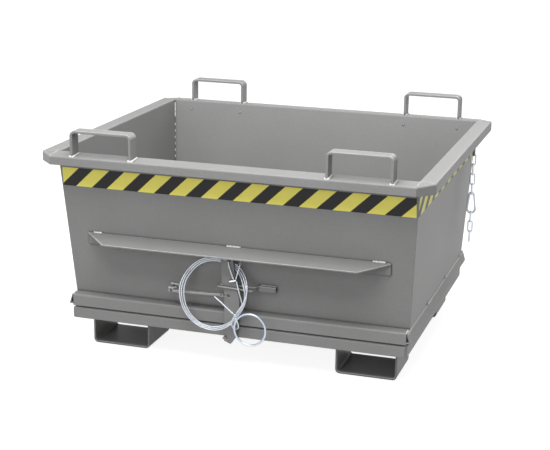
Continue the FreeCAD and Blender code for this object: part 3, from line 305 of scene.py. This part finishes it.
def winding_point(swept):
    """A place on the coil's turns after so many degrees of winding."""
    angle = COIL_START - swept
    turn = math.radians(KNOT_TURN) * smooth(1 - around(angle, KNOT_ANGLE) / KNOT_WIDTH)
    spread = COIL_GROWTH * swept / 360
    radius = COIL_RADIUS + spread * math.cos(turn)
    radius += FAN_OUT * smooth(1 - around(angle, FAN_ANGLE) / FAN_WIDTH) * swept / COIL_SWEEP
    radius += SAG_OUT * smooth(1 - around(angle, SAG_ANGLE) / SAG_WIDTH)
    slack = smooth(1 - around(angle, SLACK_ANGLE) / SLACK_WIDTH) * (1 - swept / COIL_SWEEP) ** 2
    radius -= SLACK_IN * slack
    front = -COIL_FRONT - spread * math.sin(turn)
    behind = smooth((BEHIND_HALF + BEHIND_RAMP - around(angle, BEHIND_ANGLE)) / BEHIND_RAMP)
    depth = front + (-COIL_BEHIND - front) * behind
    way = Vector((math.cos(math.radians(angle)), 0, math.sin(math.radians(angle))))
    return COIL_MIDDLE + way * radius + Vector((0, depth, 0))


def coil_point(swept):
    """A place on the coil, with its last stretch drawn over to the knot."""
    led_out = smooth((swept - COIL_SWEEP + LEAD_OUT) / LEAD_OUT)
    return winding_point(swept) + (knot_entry - winding_point(COIL_SWEEP)) * led_out


ROPE_STEP = 2.4 * MM
coil_steps = round(COIL_SWEEP / 360 * TURN_POINTS)
coil_route = [coil_point(COIL_SWEEP * index / coil_steps) for index in range(coil_steps + 1)]
lead_route = [rope_hole + Vector(point) for point in ROPE_LEAD]
main_path = even_steps(rope_line("rope_main", lead_route + coil_route), ROPE_STEP)
eye_path, loop_path, tail_path = (
    even_steps(rope_line(name, [rope_hole + Vector(point) for point in route]), ROPE_STEP)
    for name, route in (("rope_eye", ROPE_EYE), ("rope_loop", ROPE_LOOP), ("rope_tail", ROPE_TAIL))
)

rope_main = laid_rope("pull_rope_main", main_path)
rope_eye = laid_rope("pull_rope_eye", eye_path)
rope_loop = laid_rope("pull_rope_loop", loop_path)
rope_tail = laid_rope("pull_rope_tail", tail_path)

# The knot is an overhand knot: the same strands along a three-lobed line, pulled tight.
KNOT_LOBE, KNOT_STEPS = 1.5 * MM, 64
knot_path = []
for index in range(KNOT_STEPS):
    turn = 2 * math.pi * index / KNOT_STEPS
    knot_path.append(knot + KNOT_LOBE * Vector((
        math.sin(turn) + 2 * math.sin(2 * turn),
        -math.sin(3 * turn),
        math.cos(turn) - 2 * math.cos(2 * turn),
    )))
rope_knot = laid_rope("pull_rope_knot", knot_path + knot_path[:2])

# Ferrule: an aluminium sleeve pushed over both ropes and pressed flat round them. The tool leaves a
# row of shallow dents in it, and its ends are turned in.
FERRULE_START = rope_hole + Vector((0.003, -0.006, -0.065))
FERRULE_WAY = Vector((22, 0, 6)).normalized()
FERRULE_LENGTH, FERRULE_DIAMETER = 0.023, 0.008
FERRULE_SIDES, FERRULE_RINGS = 20, 12
FERRULE_DENTS, DENT_MIDDLE, DENT_DEPTH = 3, 0.9, 0.06
FERRULE_END, END_SHARE = 0.72, 0.02

# Pressed aluminium: a bright, pale metal, duller where the tool has scuffed it.
pressed_aluminium, shader = new_finish("pressed_aluminium")
shader.inputs["Metallic"].default_value = 0.9
shader.inputs["Base Color"].default_value = linear("#DDE2EA")
scuff = grain(pressed_aluminium, size_mm=2)
feed(pressed_aluminium, shader, Roughness=drifting(pressed_aluminium, scuff, 0.25, 0.45))


def start_fresh():
    """Nothing selected: an operator acts on all that is."""
    bpy.ops.object.select_all(action="DESELECT")


def finished(name, material, body, smooth_below=40):
    """The piece just made: named, placed in its mesh, smooth over gentle edges, coated and carried."""
    piece = bpy.context.object
    piece.name = name
    piece.data.name = name
    bpy.ops.object.transform_apply(location=True, rotation=True, scale=True)
    bpy.ops.object.shade_smooth_by_angle(angle=math.radians(smooth_below))
    piece.data.materials.clear()
    piece.data.materials.append(material)
    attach(piece, body)


def ringed_bar(middle, way, diameter, length, sides, rings):
    """A round bar along a direction, cut into rings for shaping, with its length along its own Z."""
    start_fresh()
    bpy.ops.mesh.primitive_cylinder_add(
        vertices=sides, radius=diameter / 2, depth=length, location=middle,
        rotation=Vector(way).to_track_quat("Z", "Y").to_euler(),
    )
    bar = bpy.context.object
    bpy.ops.object.mode_set(mode="EDIT")
    bpy.ops.mesh.select_all(action="DESELECT")
    bpy.ops.mesh.select_mode(type="EDGE")
    bpy.ops.object.mode_set(mode="OBJECT")
    for edge in bar.data.edges:
        low, high = (bar.data.vertices[v].co for v in edge.vertices)
        edge.select = abs(low.z - high.z) > length / 2
    bpy.ops.object.mode_set(mode="EDIT")
    bpy.ops.mesh.subdivide(number_cuts=rings)
    bpy.ops.object.mode_set(mode="OBJECT")
    return bar


ferrule = ringed_bar(
    FERRULE_START + FERRULE_WAY * (FERRULE_LENGTH / 2), FERRULE_WAY, FERRULE_DIAMETER, FERRULE_LENGTH,
    FERRULE_SIDES, FERRULE_RINGS,
)
for vertex in ferrule.data.vertices:
    share = vertex.co.z / FERRULE_LENGTH + 0.5
    size = DENT_MIDDLE + DENT_DEPTH * math.cos(2 * math.pi * FERRULE_DENTS * share)
    if share < END_SHARE or share > 1 - END_SHARE:
        size = FERRULE_END
    vertex.co.x *= size
    vertex.co.y *= size
finished("pressed_ferrule", pressed_aluminium, "release_lever", smooth_below=50)
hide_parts("rope_ferrule")

# Pull ring: a round bar bent to a ring, butt-welded and zinc plated. The ground weld shows as a
# narrow band between two shallow grooves.
RING_MIDDLE = Vector((0.070, -0.512, 0.152))
RING_RADIUS, RING_WIRE = 0.05025, 0.0065
RING_STEPS, RING_SIDES = 120, 14
RING_WELD_ANGLE, RING_WELD_WIDTH = 128, 5
RING_GROOVE, RING_BAND = 0.94, 0.06

# Zinc on ring bar: a cool mid-grey metal, unevenly dull.
ring_zinc, shader = new_finish("zinc_plated_ring_bar")
shader.inputs["Metallic"].default_value = 0.85
mottle = grain(ring_zinc, size_mm=5)
feed(
    ring_zinc, shader, Base_Color=mottled(ring_zinc, mottle, "#AAB4C4", "#C9D2DF"),
    Roughness=drifting(ring_zinc, mottle, 0.25, 0.4),
)

start_fresh()
bpy.ops.mesh.primitive_torus_add(
    location=RING_MIDDLE, rotation=(math.pi / 2, 0, 0), major_radius=RING_RADIUS,
    minor_radius=RING_WIRE / 2, major_segments=RING_STEPS, minor_segments=RING_SIDES,
)
ring = bpy.context.object
for vertex in ring.data.vertices:
    angle = math.degrees(math.atan2(vertex.co.y, vertex.co.x))
    nearness = smooth(1 - around(angle, RING_WELD_ANGLE) / RING_WELD_WIDTH)
    if nearness > 0:
        core = Vector((vertex.co.x, vertex.co.y, 0)).normalized() * RING_RADIUS
        vertex.co = core + (vertex.co - core) * (RING_GROOVE + RING_BAND * nearness)
finished("welded_pull_ring", ring_zinc, "release_lever")
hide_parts("pull_ring")

# The four stretches of rope are cords. The ring reaches further from its cord than a piece on a cord
# may, so it rides on the lever by itself.
for piece, node, path, far_end, lay, carried in (
    (rope_eye, "rope_eye", eye_path, "object", "hanging", ()),
    (rope_main, "rope_coil", main_path, "knot", "coiled", (ferrule, rope_knot)),
    (rope_loop, "rope_loop", loop_path, "object", "hanging", ()),
    (rope_tail, "rope_tail", tail_path, "bare", "hanging", ()),
):
    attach(piece, "release_lever")
    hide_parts(node)
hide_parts("rope_lead")
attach(rope_knot, "release_lever")
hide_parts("rope_knot")

# Tension spring. Spring steel wire wound close and painted over with the container, so that it reads
# as a ribbed grey bar. A half loop holds the anchor, and a hook goes into the lever from the front.
SPRING_WIRE, SPRING_DIAMETER, SPRING_WIRE_SIDES = 1.8 * MM, 13 * MM, 6
SPRING_ANCHOR = Vector((-0.207, -0.473, 0.236))
SPRING_HOLE = Vector((-0.0125, -0.473, 0.241))
ANCHOR_LOOP, ANCHOR_STEPS = 5.7 * MM, 12
SPRING_START, SPRING_BODY = 9.3 * MM, 158 * MM
SPRING_PITCH, TURN_STEPS = 1.86 * MM, 16
LEVER_FACE, HOOK_STANDOFF = -0.478, 1.2 * MM

# The hook's eyelet and its route, in millimetres from where it stands on the lever's front.
EYELET_PLACE, EYELET_STEPS = Vector((-21.5, -1.2, 1.5)) * MM, 13
EYELET_ACROSS, EYELET_UP, EYELET_RISE = 5.2 * MM, 5.5 * MM, 1.6 * MM
EYELET_START, EYELET_SWEEP = 0.9 * math.pi, 2.1 * math.pi
HOOK_ROUTE = (
    (-12, -3.4, -3.5), (-8, -2.8, -1), (-4, -1.2, 0), (-1, 0.4, 0), (0, 3, 0), (0, 8, 0), (0, 13.5, 0),
)

# Painted spring steel: a satin grey with a metal's bright streak along it.
painted_spring, shader = new_finish("painted_spring_steel")
shader.inputs["Metallic"].default_value = 0.45
shader.inputs["Roughness"].default_value = 0.3
flow = grain(painted_spring, size_mm=6)
feed(painted_spring, shader, Base_Color=mottled(painted_spring, flow, "#9C9C9A", "#B0B0AE"))

spring_way = (SPRING_HOLE - SPRING_ANCHOR).normalized()
spring_front = Vector((0, -1, 0))
spring_up = spring_front.cross(spring_way)
spring_radius = (SPRING_DIAMETER - SPRING_WIRE) / 2
spring_path = []
for index in reversed(range(ANCHOR_STEPS + 1)):
    turn = math.pi * (index / ANCHOR_STEPS + 0.5)
    way = spring_way * math.cos(turn) - spring_up * math.sin(turn)
    spring_path.append(SPRING_ANCHOR + way * ANCHOR_LOOP)
coil_first = SPRING_ANCHOR + spring_way * SPRING_START
for index in range(int(SPRING_BODY / SPRING_PITCH * TURN_STEPS) + 1):
    turn = 2 * math.pi * index / TURN_STEPS
    middle = coil_first + spring_way * (SPRING_PITCH * index / TURN_STEPS)
    way = spring_up * math.cos(turn) + spring_front * math.sin(turn)
    spring_path.append(middle + way * spring_radius)
hook_front = Vector((SPRING_HOLE.x, LEVER_FACE - HOOK_STANDOFF, SPRING_HOLE.z))
for index in range(EYELET_STEPS + 1):
    share = index / EYELET_STEPS
    turn = EYELET_START - EYELET_SWEEP * share
    way = Vector((math.cos(turn) * EYELET_ACROSS, -EYELET_RISE * share, math.sin(turn) * EYELET_UP))
    spring_path.append(hook_front + EYELET_PLACE + way)
spring_path += [hook_front + Vector(place) * MM for place in HOOK_ROUTE]

spring = tube_mesh("close_wound_spring", [spring_path], SPRING_WIRE, SPRING_WIRE_SIDES)
spring.data.materials.append(painted_spring)
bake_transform(spring)
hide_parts("tension_spring")

# Hopper, flap and lever. Steel sheet and bar, cut, bent and welded together, and then powder coated in
# one mid grey. The guide rod beside the lever has the spring's smoother, brighter coat.
CLOUD_MM, SPECK_MM, PEEL_MM = 240, 2.5, 5
PEEL_DEPTH = 0.8 * MM
EDGE_RADIUS, BEND_RADIUS, CREASE_SHADE_REACH = 2 * MM, 7 * MM, 9 * MM
BEND_HIGHLIGHT = 0.7

# Powder coat: a satin grey skin, faintly cloudy, with fine specks and orange peel. Edges are softened.
# Bends that face upwards carry a painted highlight, and creases painted shade. The specks are drawn coarser
# than real ones.
powder_coat, shader = new_finish("grey_powder_coat")
shader.inputs["Specular IOR Level"].default_value = 0.15
clouds = grain(powder_coat, CLOUD_MM, detail=3)
specks = grain(powder_coat, SPECK_MM, detail=1)
peel = grain(powder_coat, PEEL_MM, detail=1)
contrast = add_node(
    powder_coat, "ShaderNodeMapRange", {"From Min": 0.3, "From Max": 0.7, "To Min": 0.93, "To Max": 1.07},
    {"Value": specks.outputs["Fac"]},
)
speckled = add_node(
    powder_coat, "ShaderNodeVectorMath", {"operation": "SCALE"},
    {0: mottled(powder_coat, clouds, "#848483", "#909090"), "Scale": contrast.outputs[0]},
)
# Painted shade: the coat's colour is darkened in creases and tight corners.
painted_crease_shade = add_node(
    powder_coat, "ShaderNodeAmbientOcclusion", {"samples": 6, "Distance": CREASE_SHADE_REACH},
    {"Color": speckled.outputs[0]},
)
edge_normal = add_node(powder_coat, "ShaderNodeBevel", {"samples": 4, "Radius": EDGE_RADIUS})
skin = add_node(
    powder_coat, "ShaderNodeBump", {"Strength": 0.3, "Distance": PEEL_DEPTH},
    {"Height": peel.outputs["Fac"], "Normal": edge_normal.outputs[0]},
)
surface = add_node(powder_coat, "ShaderNodeNewGeometry")
# Painted highlight: bends that face upwards are mixed towards a pale grey in the coat's colour.
bend_normal = add_node(powder_coat, "ShaderNodeBevel", {"samples": 6, "Radius": BEND_RADIUS})
turned = add_node(
    powder_coat, "ShaderNodeVectorMath", {"operation": "DOT_PRODUCT"},
    {0: bend_normal.outputs[0], 1: surface.outputs["True Normal"]},
)
bend = add_node(
    powder_coat, "ShaderNodeMapRange", {"From Min": 0.99, "From Max": 0.88, "To Max": BEND_HIGHLIGHT},
    {"Value": turned.outputs["Value"]},
)
bend_way = add_node(powder_coat, "ShaderNodeSeparateXYZ", {}, {0: bend_normal.outputs[0]})
upward = add_node(
    powder_coat, "ShaderNodeMapRange", {"From Min": 0.2, "From Max": 0.55}, {"Value": bend_way.outputs["Z"]},
)
bend_highlight_mask = add_node(
    powder_coat, "ShaderNodeMath", {"operation": "MULTIPLY"}, {0: bend.outputs[0], 1: upward.outputs[0]},
)
painted_light_and_shade = add_node(
    powder_coat, "ShaderNodeMix", {"data_type": "RGBA", 7: linear("#E4E4E2")},
    {0: bend_highlight_mask.outputs[0], 6: painted_crease_shade.outputs["Color"]},
)
feed(
    powder_coat, shader, Base_Color=painted_light_and_shade.outputs[2], Normal=skin.outputs[0],
    Roughness=drifting(powder_coat, clouds, 0.36, 0.46),
)

CORNERS = [f"{end}_{side}" for end in ("front", "rear") for side in ("left", "right")]
PAINTED = [
    "front_wall", "rear_wall", "left_wall", "right_wall", "rim_corner_plates", "shelf_angle",
    "front_collar", "rear_collar", "left_roof_strip", "right_roof_strip", "flap_pan", "catch_plate",
    "flap_hinge_left", "flap_hinge_right", "hinge_lugs", "release_lever", "lever_boss", "guide_tab",
    "spring_anchor", "chain_anchor",
    *("lifting_lug_" + corner for corner in CORNERS), *("fork_pocket_" + corner for corner in CORNERS),
]


def dress(names, material):
    """Gives CAD nodes, whose shapes stay, their real finish."""
    for name in names:
        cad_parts[name].data.materials.clear()
        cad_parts[name].data.materials.append(material)


dress(PAINTED, powder_coat)
dress(["lever_guide"], painted_spring)

# Catch plate: a steel plate under the flap that the lever's tooth holds, painted with it. Its free end
# is sheared off short beside the tooth, so that only the tongue under the hook stands below the flap.
CATCH_SHORT = -31 * MM
SAME_PLACE = 0.01 * MM

start_fresh()
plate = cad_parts["catch_plate"].copy()
plate.data = plate.data.copy()
bpy.context.collection.objects.link(plate)
plate.select_set(True)
bpy.context.view_layer.objects.active = plate
bpy.ops.object.mode_set(mode="EDIT")
bpy.ops.mesh.select_all(action="SELECT")
bpy.ops.mesh.remove_doubles(threshold=SAME_PLACE)
bpy.ops.mesh.bisect(
    plane_co=(CATCH_SHORT, 0, 0), plane_no=(1, 0, 0), use_fill=True, clear_inner=True, clear_outer=False,
)
bpy.ops.mesh.select_all(action="SELECT")
bpy.ops.mesh.normals_make_consistent(inside=False)
bpy.ops.object.mode_set(mode="OBJECT")
finished("sheared_catch_plate", powder_coat, "floor_flap", smooth_below=30)
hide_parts("catch_plate")

# Pins, cotters, bolt and washer: turned and bent steel with a bright zinc plating, put in after the
# paint, so they stay bare. The plating is a pale metal with a light haze.
zinc_plate, shader = new_finish("bright_zinc_plating")
shader.inputs["Metallic"].default_value = 0.9
haze = grain(zinc_plate, size_mm=8)
feed(
    zinc_plate, shader, Base_Color=mottled(zinc_plate, haze, "#AEB1B5", "#C6C9CC"),
    Roughness=drifting(zinc_plate, haze, 0.3, 0.46),
)
dress(["hinge_pins", "hinge_cotters", "lever_pivot_bolt", "lever_pivot_washer", "gate_pin"], zinc_plate)

# Weld beads. Steel beads laid by hand and painted over: a half-sunk bar with a ripple for each drop of
# metal. Lengths and places in this section are in millimetres, apart from the drops.
DROP = 3 * MM
BEAD_SIDES, BEAD_END, BEAD_END_SHARE = 8, 0.45, 0.01
BEAD_SIZE, BEAD_RIPPLE = 0.82, 0.22
BEAD_WANDER, WANDER_RATE, WANDER_SHIFT = 0.18, 1.7, 900

# Painted bead: the thin, smooth coat on the ripples catches the light, and its colour is drawn paler than
# the sheet as a painted highlight.
highlighted_weld_coat, shader = new_finish("weld_bead_painted_highlight")
shader.inputs["Roughness"].default_value = 0.3
ripple = grain(highlighted_weld_coat, size_mm=3)
feed(highlighted_weld_coat, shader, Base_Color=mottled(highlighted_weld_coat, ripple, "#B4B4B2", "#F4F4F2"))


def weld_run(start, end, width, drop=DROP):
    """One bead from place to place, rippled along its length and uneven as a hand leaves it."""
    start, end = Vector(start) * MM, Vector(end) * MM
    length = (end - start).length
    drops = length / drop
    rings = max(4, 4 * round(drops)) - 1
    bead = ringed_bar((start + end) / 2, end - start, width * MM, length, BEAD_SIDES, rings)
    for vertex in bead.data.vertices:
        share = vertex.co.z / length + 0.5
        ripple_size = BEAD_RIPPLE * abs(math.sin(math.pi * share * drops))
        wander = BEAD_WANDER * math.sin(share * drops * WANDER_RATE + WANDER_SHIFT * start.x)
        size = BEAD_SIZE + ripple_size + wander
        if share < BEAD_END_SHARE or share > 1 - BEAD_END_SHARE:
            size = BEAD_END
        vertex.co.x *= size
        vertex.co.y *= size
    return bead


def joined(pieces):
    """Several pieces as one, with their places in its mesh; it stays selected and active."""
    start_fresh()
    for piece in pieces:
        piece.select_set(True)
    bpy.context.view_layer.objects.active = pieces[0]
    bpy.ops.object.transform_apply(location=True, rotation=True, scale=True)
    bpy.ops.object.join()
    return bpy.context.object


def weld_group(name, runs, coat=highlighted_weld_coat):
    """Several beads on the hopper as one piece."""
    joined([weld_run(*run) for run in runs])
    finished(name, coat, "hopper", smooth_below=80)


BOTH = (-1, 1)


def mirrored(place, side, end):
    """A place of the rear right quarter, on another side and at another end."""
    return side * place[0], end * place[1], place[2]


# Lifting lugs: a bead along both faces of each leg, with a short, fat one at its outer end.
RIM_EDGE, RIM_EDGE_Z, FLANGE_SLOPE = 544, 652, 5 / 60
LUG_X, LUG_HALF, LUG_BAR = 406, 101, 8
LUG_OUTER, LUG_INNER, LUG_BEAD = 541, 497, 7
END_BEAD, END_BEAD_DROP = 10, 4 * MM

outer_z, inner_z = (RIM_EDGE_Z + (RIM_EDGE - y) * FLANGE_SLOPE for y in (LUG_OUTER, LUG_INNER))
lug_beads = []
for end, side, leg, face in product(BOTH, BOTH, BOTH, (0, LUG_BAR)):
    x = side * LUG_X + leg * (LUG_HALF - face)
    lug_beads.append(((x, end * LUG_OUTER, outer_z), (x, end * LUG_INNER, inner_z), LUG_BEAD))
    outside, inside = (x, end * (LUG_OUTER + 1), outer_z), (x, end * (LUG_OUTER - LUG_BEAD), outer_z)
    lug_beads.append((outside, inside, END_BEAD, END_BEAD_DROP))
weld_group("lug_foot_welds", lug_beads)

# Rim corners: a fine seam along the two sides where each corner plate meets the flanges.
SEAM = 2.6
PLATE_INNER, PLATE_END, PLATE_FLANK = (574.5, 484, 656.6), (574.5, 542, 652.3), (620.5, 496, 655.4)

corner_beads = []
for side, end in product(BOTH, BOTH):
    for outer in (PLATE_END, PLATE_FLANK):
        corner_beads.append((mirrored(PLATE_INNER, side, end), mirrored(outer, side, end), SEAM))
weld_group("rim_corner_welds", corner_beads, powder_coat)

# The walls lean outwards from their foot; these give their faces' distances from the middle.
WALL_FOOT = 140
FRONT_INNER, FRONT_INNER_LEAN = 418, 0.1277
FRONT_OUTER, FRONT_OUTER_LEAN = 421, 0.12847
SIDE_INNER, SIDE_OUTER, SIDE_LEAN = 544.5, 547.5, 0.05156


def wall_face(foot, lean, z):
    """A wall face's distance from the middle at a height."""
    return foot + lean * (z - WALL_FOOT)


def on_front(x, z, wall_z):
    """A place 1 mm out from where the front wall stands at a height."""
    return x, -wall_face(FRONT_OUTER, FRONT_OUTER_LEAN, wall_z) - 1, z


# Shelf angle: three runs along its upper edge.
SHELF_Z, SHELF_BEAD = 393, 7
SHELF_RUNS = ((-473, -445), (-27, 18), (434, 474))

shelf_beads = []
for left, right in SHELF_RUNS:
    shelf_beads.append((on_front(left, SHELF_Z, SHELF_Z), on_front(right, SHELF_Z, SHELF_Z), SHELF_BEAD))
weld_group("shelf_welds", shelf_beads)

# Lifting lugs inside: their tack welds show through the front and rear walls as small nubs.
NUB_Z, NUB_HALF, NUB_WIDTH, NUB_DROP = 624, 3, 7, 6 * MM
NUB_PLACES = (-502, -310, 310, 502)

nub_runs = []
for end, x in product(BOTH, NUB_PLACES):
    y = end * wall_face(FRONT_INNER, FRONT_INNER_LEAN, NUB_Z)
    nub_runs.append(((x - NUB_HALF, y, NUB_Z), (x + NUB_HALF, y, NUB_Z), NUB_WIDTH, NUB_DROP))
weld_group("inner_wall_nubs", nub_runs, powder_coat)

# Inside corners: the walls meet in a run of short stitches, with one long bead near the rim.
STITCH_LOW, STITCH_PITCH, STITCH_LENGTH, STITCHES, STITCH_WIDTH = 150, 24, 10, 18, 3.2
LONG_BEAD = (590, 645, 5)
CORNER_DROP, CORNER_SINK = 5 * MM, 0.5


def inside_corner(z):
    """A place in the rear right inside corner at a height, a little in front of both walls."""
    x, y = wall_face(SIDE_INNER, SIDE_LEAN, z), wall_face(FRONT_INNER, FRONT_INNER_LEAN, z)
    return x - CORNER_SINK, y - CORNER_SINK, z


stitches = []
for step in range(STITCHES):
    low = STITCH_LOW + STITCH_PITCH * step
    stitches.append((low, low + STITCH_LENGTH, STITCH_WIDTH))
inner_runs = []
for side, end in product(BOTH, BOTH):
    for low, high, width in stitches + [LONG_BEAD]:
        foot, top = (mirrored(inside_corner(z), side, end) for z in (low, high))
        inner_runs.append((foot, top, width, CORNER_DROP))
weld_group("inner_corner_welds", inner_runs)

# Roof strips: stitches along their upper edge, and one at each end of the collars.
STRIP_TOP, STRIP_BEAD_Z = 183, 183.5
STRIP_STITCHES, STRIP_HALF, STRIP_WIDTH = (-166, 130, 400), 11, 9
COLLAR_END, COLLAR_WIDTH = ((547, 440, 184), (547, 461, 182)), 5

strip_runs = []
for side, middle in product(BOTH, STRIP_STITCHES):
    x = side * (wall_face(SIDE_OUTER, SIDE_LEAN, STRIP_TOP) + 1)
    near, far = (x, middle - STRIP_HALF, STRIP_BEAD_Z), (x, middle + STRIP_HALF, STRIP_BEAD_Z)
    strip_runs.append((near, far, STRIP_WIDTH))
for side, end in product(BOTH, BOTH):
    strip_runs.append((*(mirrored(place, side, end) for place in COLLAR_END), COLLAR_WIDTH))
weld_group("strip_and_collar_welds", strip_runs)

# Spring anchor and guide tab: the anchor has a few drops round its foot, the tab a fine bead on top.
ANCHOR_DROPS = (((-216, -462, 241), (-204, -464, 242), 6), ((-205, -468, 240), (-193, -455, 243), 5))
ANCHOR_SEAM = (on_front(-219, 247, 246), on_front(-190, 245, 246), 6)
TAB_SEAM = (on_front(80, 275, 274), on_front(130, 275, 274), 3)

weld_group("bracket_welds", [*ANCHOR_DROPS, ANCHOR_SEAM, TAB_SEAM])

# Hazard tape. Printed vinyl film, yellow and black at 45 degrees, stuck under the rim on all four
# walls; smooth, thin and a little glossy, with the stripes running the same way round the corners.
STRIPE_PERIOD, YELLOW_SHARE, STRIPE_LEAN = 104.1 * MM, 0.52, -1.06
FRONT_PHASE, SIDE_PHASE = -1202.3 * MM, -805.3 * MM

# Tape film: a clear, slightly faded yellow and a soft black under one even sheen.
for wall, (x, y), phase in (
    ("front", (1, 0), FRONT_PHASE), ("right", (0, 1), SIDE_PHASE),
    ("rear", (-1, 0), FRONT_PHASE), ("left", (0, -1), SIDE_PHASE),
):
    film, shader = new_finish("hazard_tape_film_" + wall)
    shader.inputs["Roughness"].default_value = 0.45
    shader.inputs["Specular IOR Level"].default_value = 0.25
    place = add_node(film, "ShaderNodeTexCoord")
    along = add_node(
        film, "ShaderNodeVectorMath", {"operation": "DOT_PRODUCT", 1: (x, y, STRIPE_LEAN)},
        {0: place.outputs["Object"]},
    )
    shifted = add_node(
        film, "ShaderNodeMath", {"operation": "SUBTRACT", 1: phase}, {0: along.outputs["Value"]},
    )
    period = add_node(
        film, "ShaderNodeMath", {"operation": "FLOORED_MODULO", 1: STRIPE_PERIOD}, {0: shifted.outputs[0]},
    )
    black = add_node(
        film, "ShaderNodeMath", {"operation": "GREATER_THAN", 1: STRIPE_PERIOD * YELLOW_SHARE},
        {0: period.outputs[0]},
    )
    yellow = mottled(film, grain(film, size_mm=60), "#F6EA6C", "#FBF17C")
    printed = add_node(
        film, "ShaderNodeMix", {"data_type": "RGBA", 7: linear("#1C1C1C")}, {0: black.outputs[0], 6: yellow},
    )
    feed(film, shader, Base_Color=printed.outputs[2])
    dress(["hazard_tape_" + wall], film)

# Safety chain. Welded links of 5 mm wire, galvanised, hang from an eye under the rim; a snap hook
# with a spring gate hangs on the last link, and three spare links hang in the hook.
CHAIN_X, CHAIN_Y = 0.595, 0.315
CHAIN_TOP, CHAIN_LINKS = 0.577, 4
SPARE_TOP, SPARE_LINKS = 0.3745, 3
LINK_WIRE, LINK_BOW, LINK_HALF, LINK_PITCH = 0.005, 0.0075, 0.0125, 0.0347
LINK_STEPS, LINK_SIDES = 28, 12
NEAR_ZERO = 1e-7


def chain_link(middle_z, wide_along_x):
    """A link: a ring whose two halves are pulled apart."""
    start_fresh()
    bpy.ops.mesh.primitive_torus_add(
        location=(CHAIN_X, CHAIN_Y, middle_z),
        rotation=(math.pi / 2, 0, 0 if wide_along_x else math.pi / 2),
        major_radius=LINK_BOW, minor_radius=LINK_WIRE / 2,
        major_segments=LINK_STEPS, minor_segments=LINK_SIDES,
    )
    link = bpy.context.object
    for vertex in link.data.vertices:
        vertex.co.y += LINK_HALF if vertex.co.y > -NEAR_ZERO else -LINK_HALF
    return link


def chain(top, count, first_along_x):
    """A run of links as one piece, each turned a quarter from the one above it."""
    first = top - (LINK_HALF + LINK_BOW + LINK_WIRE / 2)
    return joined([
        chain_link(first - index * LINK_PITCH, (index % 2 == 0) == first_along_x) for index in range(count)
    ])


links = chain(CHAIN_TOP, CHAIN_LINKS, True)
finished("welded_chain_links", galvanised_wire, "safety_chain", smooth_below=60)
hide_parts("chain_links")
spare_links = chain(SPARE_TOP, SPARE_LINKS, False)
finished("spare_chain_links", galvanised_wire, "snap_hook", smooth_below=60)
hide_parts("chain_tail")
dress(["snap_hook", "hook_gate"], galvanised_wire)

# Floor and light. A pale floor and backdrop, and soft boxes above, before, behind and beside the
# container, as in a product studio; a small one lights the inside, and the world fills the shadows.
FLOOR_SIZE, FLOOR_DROP = 60, 0.5 * MM
FLOOR_GLOW = 0.88
SHADOW_FILL = 0.31

start_fresh()
bpy.ops.mesh.primitive_plane_add(size=FLOOR_SIZE, location=(0, 0, -FLOOR_DROP))
floor = bpy.context.object
floor.name = "studio_floor"

# Floor: dull and pale. It glows to the camera and in reflections, so it runs into the white backdrop
# and shows little more than the shadow at the foot.
pale_floor, shader = new_finish("pale_studio_floor")
shader.inputs["Base Color"].default_value = linear("#9C9C9C")
shader.inputs["Roughness"].default_value = 0.9
shader.inputs["Emission Color"].default_value = linear("#FFFFFF")
rays = add_node(pale_floor, "ShaderNodeLightPath")
looked_at = add_node(
    pale_floor, "ShaderNodeMath", {"operation": "MAXIMUM"},
    {0: rays.outputs["Is Camera Ray"], 1: rays.outputs["Is Glossy Ray"]},
)
glow = add_node(
    pale_floor, "ShaderNodeMath", {"operation": "MULTIPLY", 1: FLOOR_GLOW}, {0: looked_at.outputs[0]},
)
feed(pale_floor, shader, Emission_Strength=glow.outputs[0])
floor.data.materials.append(pale_floor)

world = bpy.data.worlds.new("studio_air")
bpy.context.scene.world = world
world.use_nodes = True
background = world.node_tree.nodes["Background"]
background.inputs["Color"].default_value = linear("#FFFFFF")
rays = add_node(world, "ShaderNodeLightPath")
straight = add_node(
    world, "ShaderNodeMath", {"operation": "MAXIMUM"},
    {0: rays.outputs["Is Camera Ray"], 1: rays.outputs["Is Transmission Ray"]},
)
clear = add_node(
    world, "ShaderNodeMath", {"operation": "MAXIMUM"},
    {0: straight.outputs[0], 1: rays.outputs["Is Glossy Ray"]},
)
level = add_node(
    world, "ShaderNodeMapRange", {"To Min": SHADOW_FILL, "To Max": 1.0}, {"Value": clear.outputs[0]},
)
world.node_tree.links.new(level.outputs[0], background.inputs["Strength"])

# Each soft box has its place, what it is aimed at, its width in metres and its power in watts.
MIDDLE = (0, 0, 0.4)
for name, place, aim, size, power in (
    ("soft_box_overhead", (0.1, -1.8, 3.2), MIDDLE, 2.2, 102),
    ("soft_box_front", (-0.9, -4.2, 1.5), MIDDLE, 2.0, 40),
    ("soft_box_rear", (0.9, 3.7, 2.7), MIDDLE, 2.0, 45),
    ("soft_box_left", (-4.4, 0.6, 1.5), MIDDLE, 2.0, 45),
    ("soft_box_right", (4.4, 0.6, 1.5), MIDDLE, 2.0, 14),
    ("soft_box_inside", (0.05, -0.45, 1.9), (-0.05, 0.6, 0.45), 0.8, 9),
):
    lamp = bpy.data.lights.new(name, "AREA")
    lamp.size = size
    lamp.energy = power
    holder = bpy.data.objects.new(name, lamp)
    bpy.context.collection.objects.link(holder)
    holder.location = place
    holder.visible_camera = False
    holder.rotation_euler = (Vector(aim) - Vector(place)).to_track_quat("-Z", "Y").to_euler()

bpy.context.scene.view_settings.view_transform = "Standard"
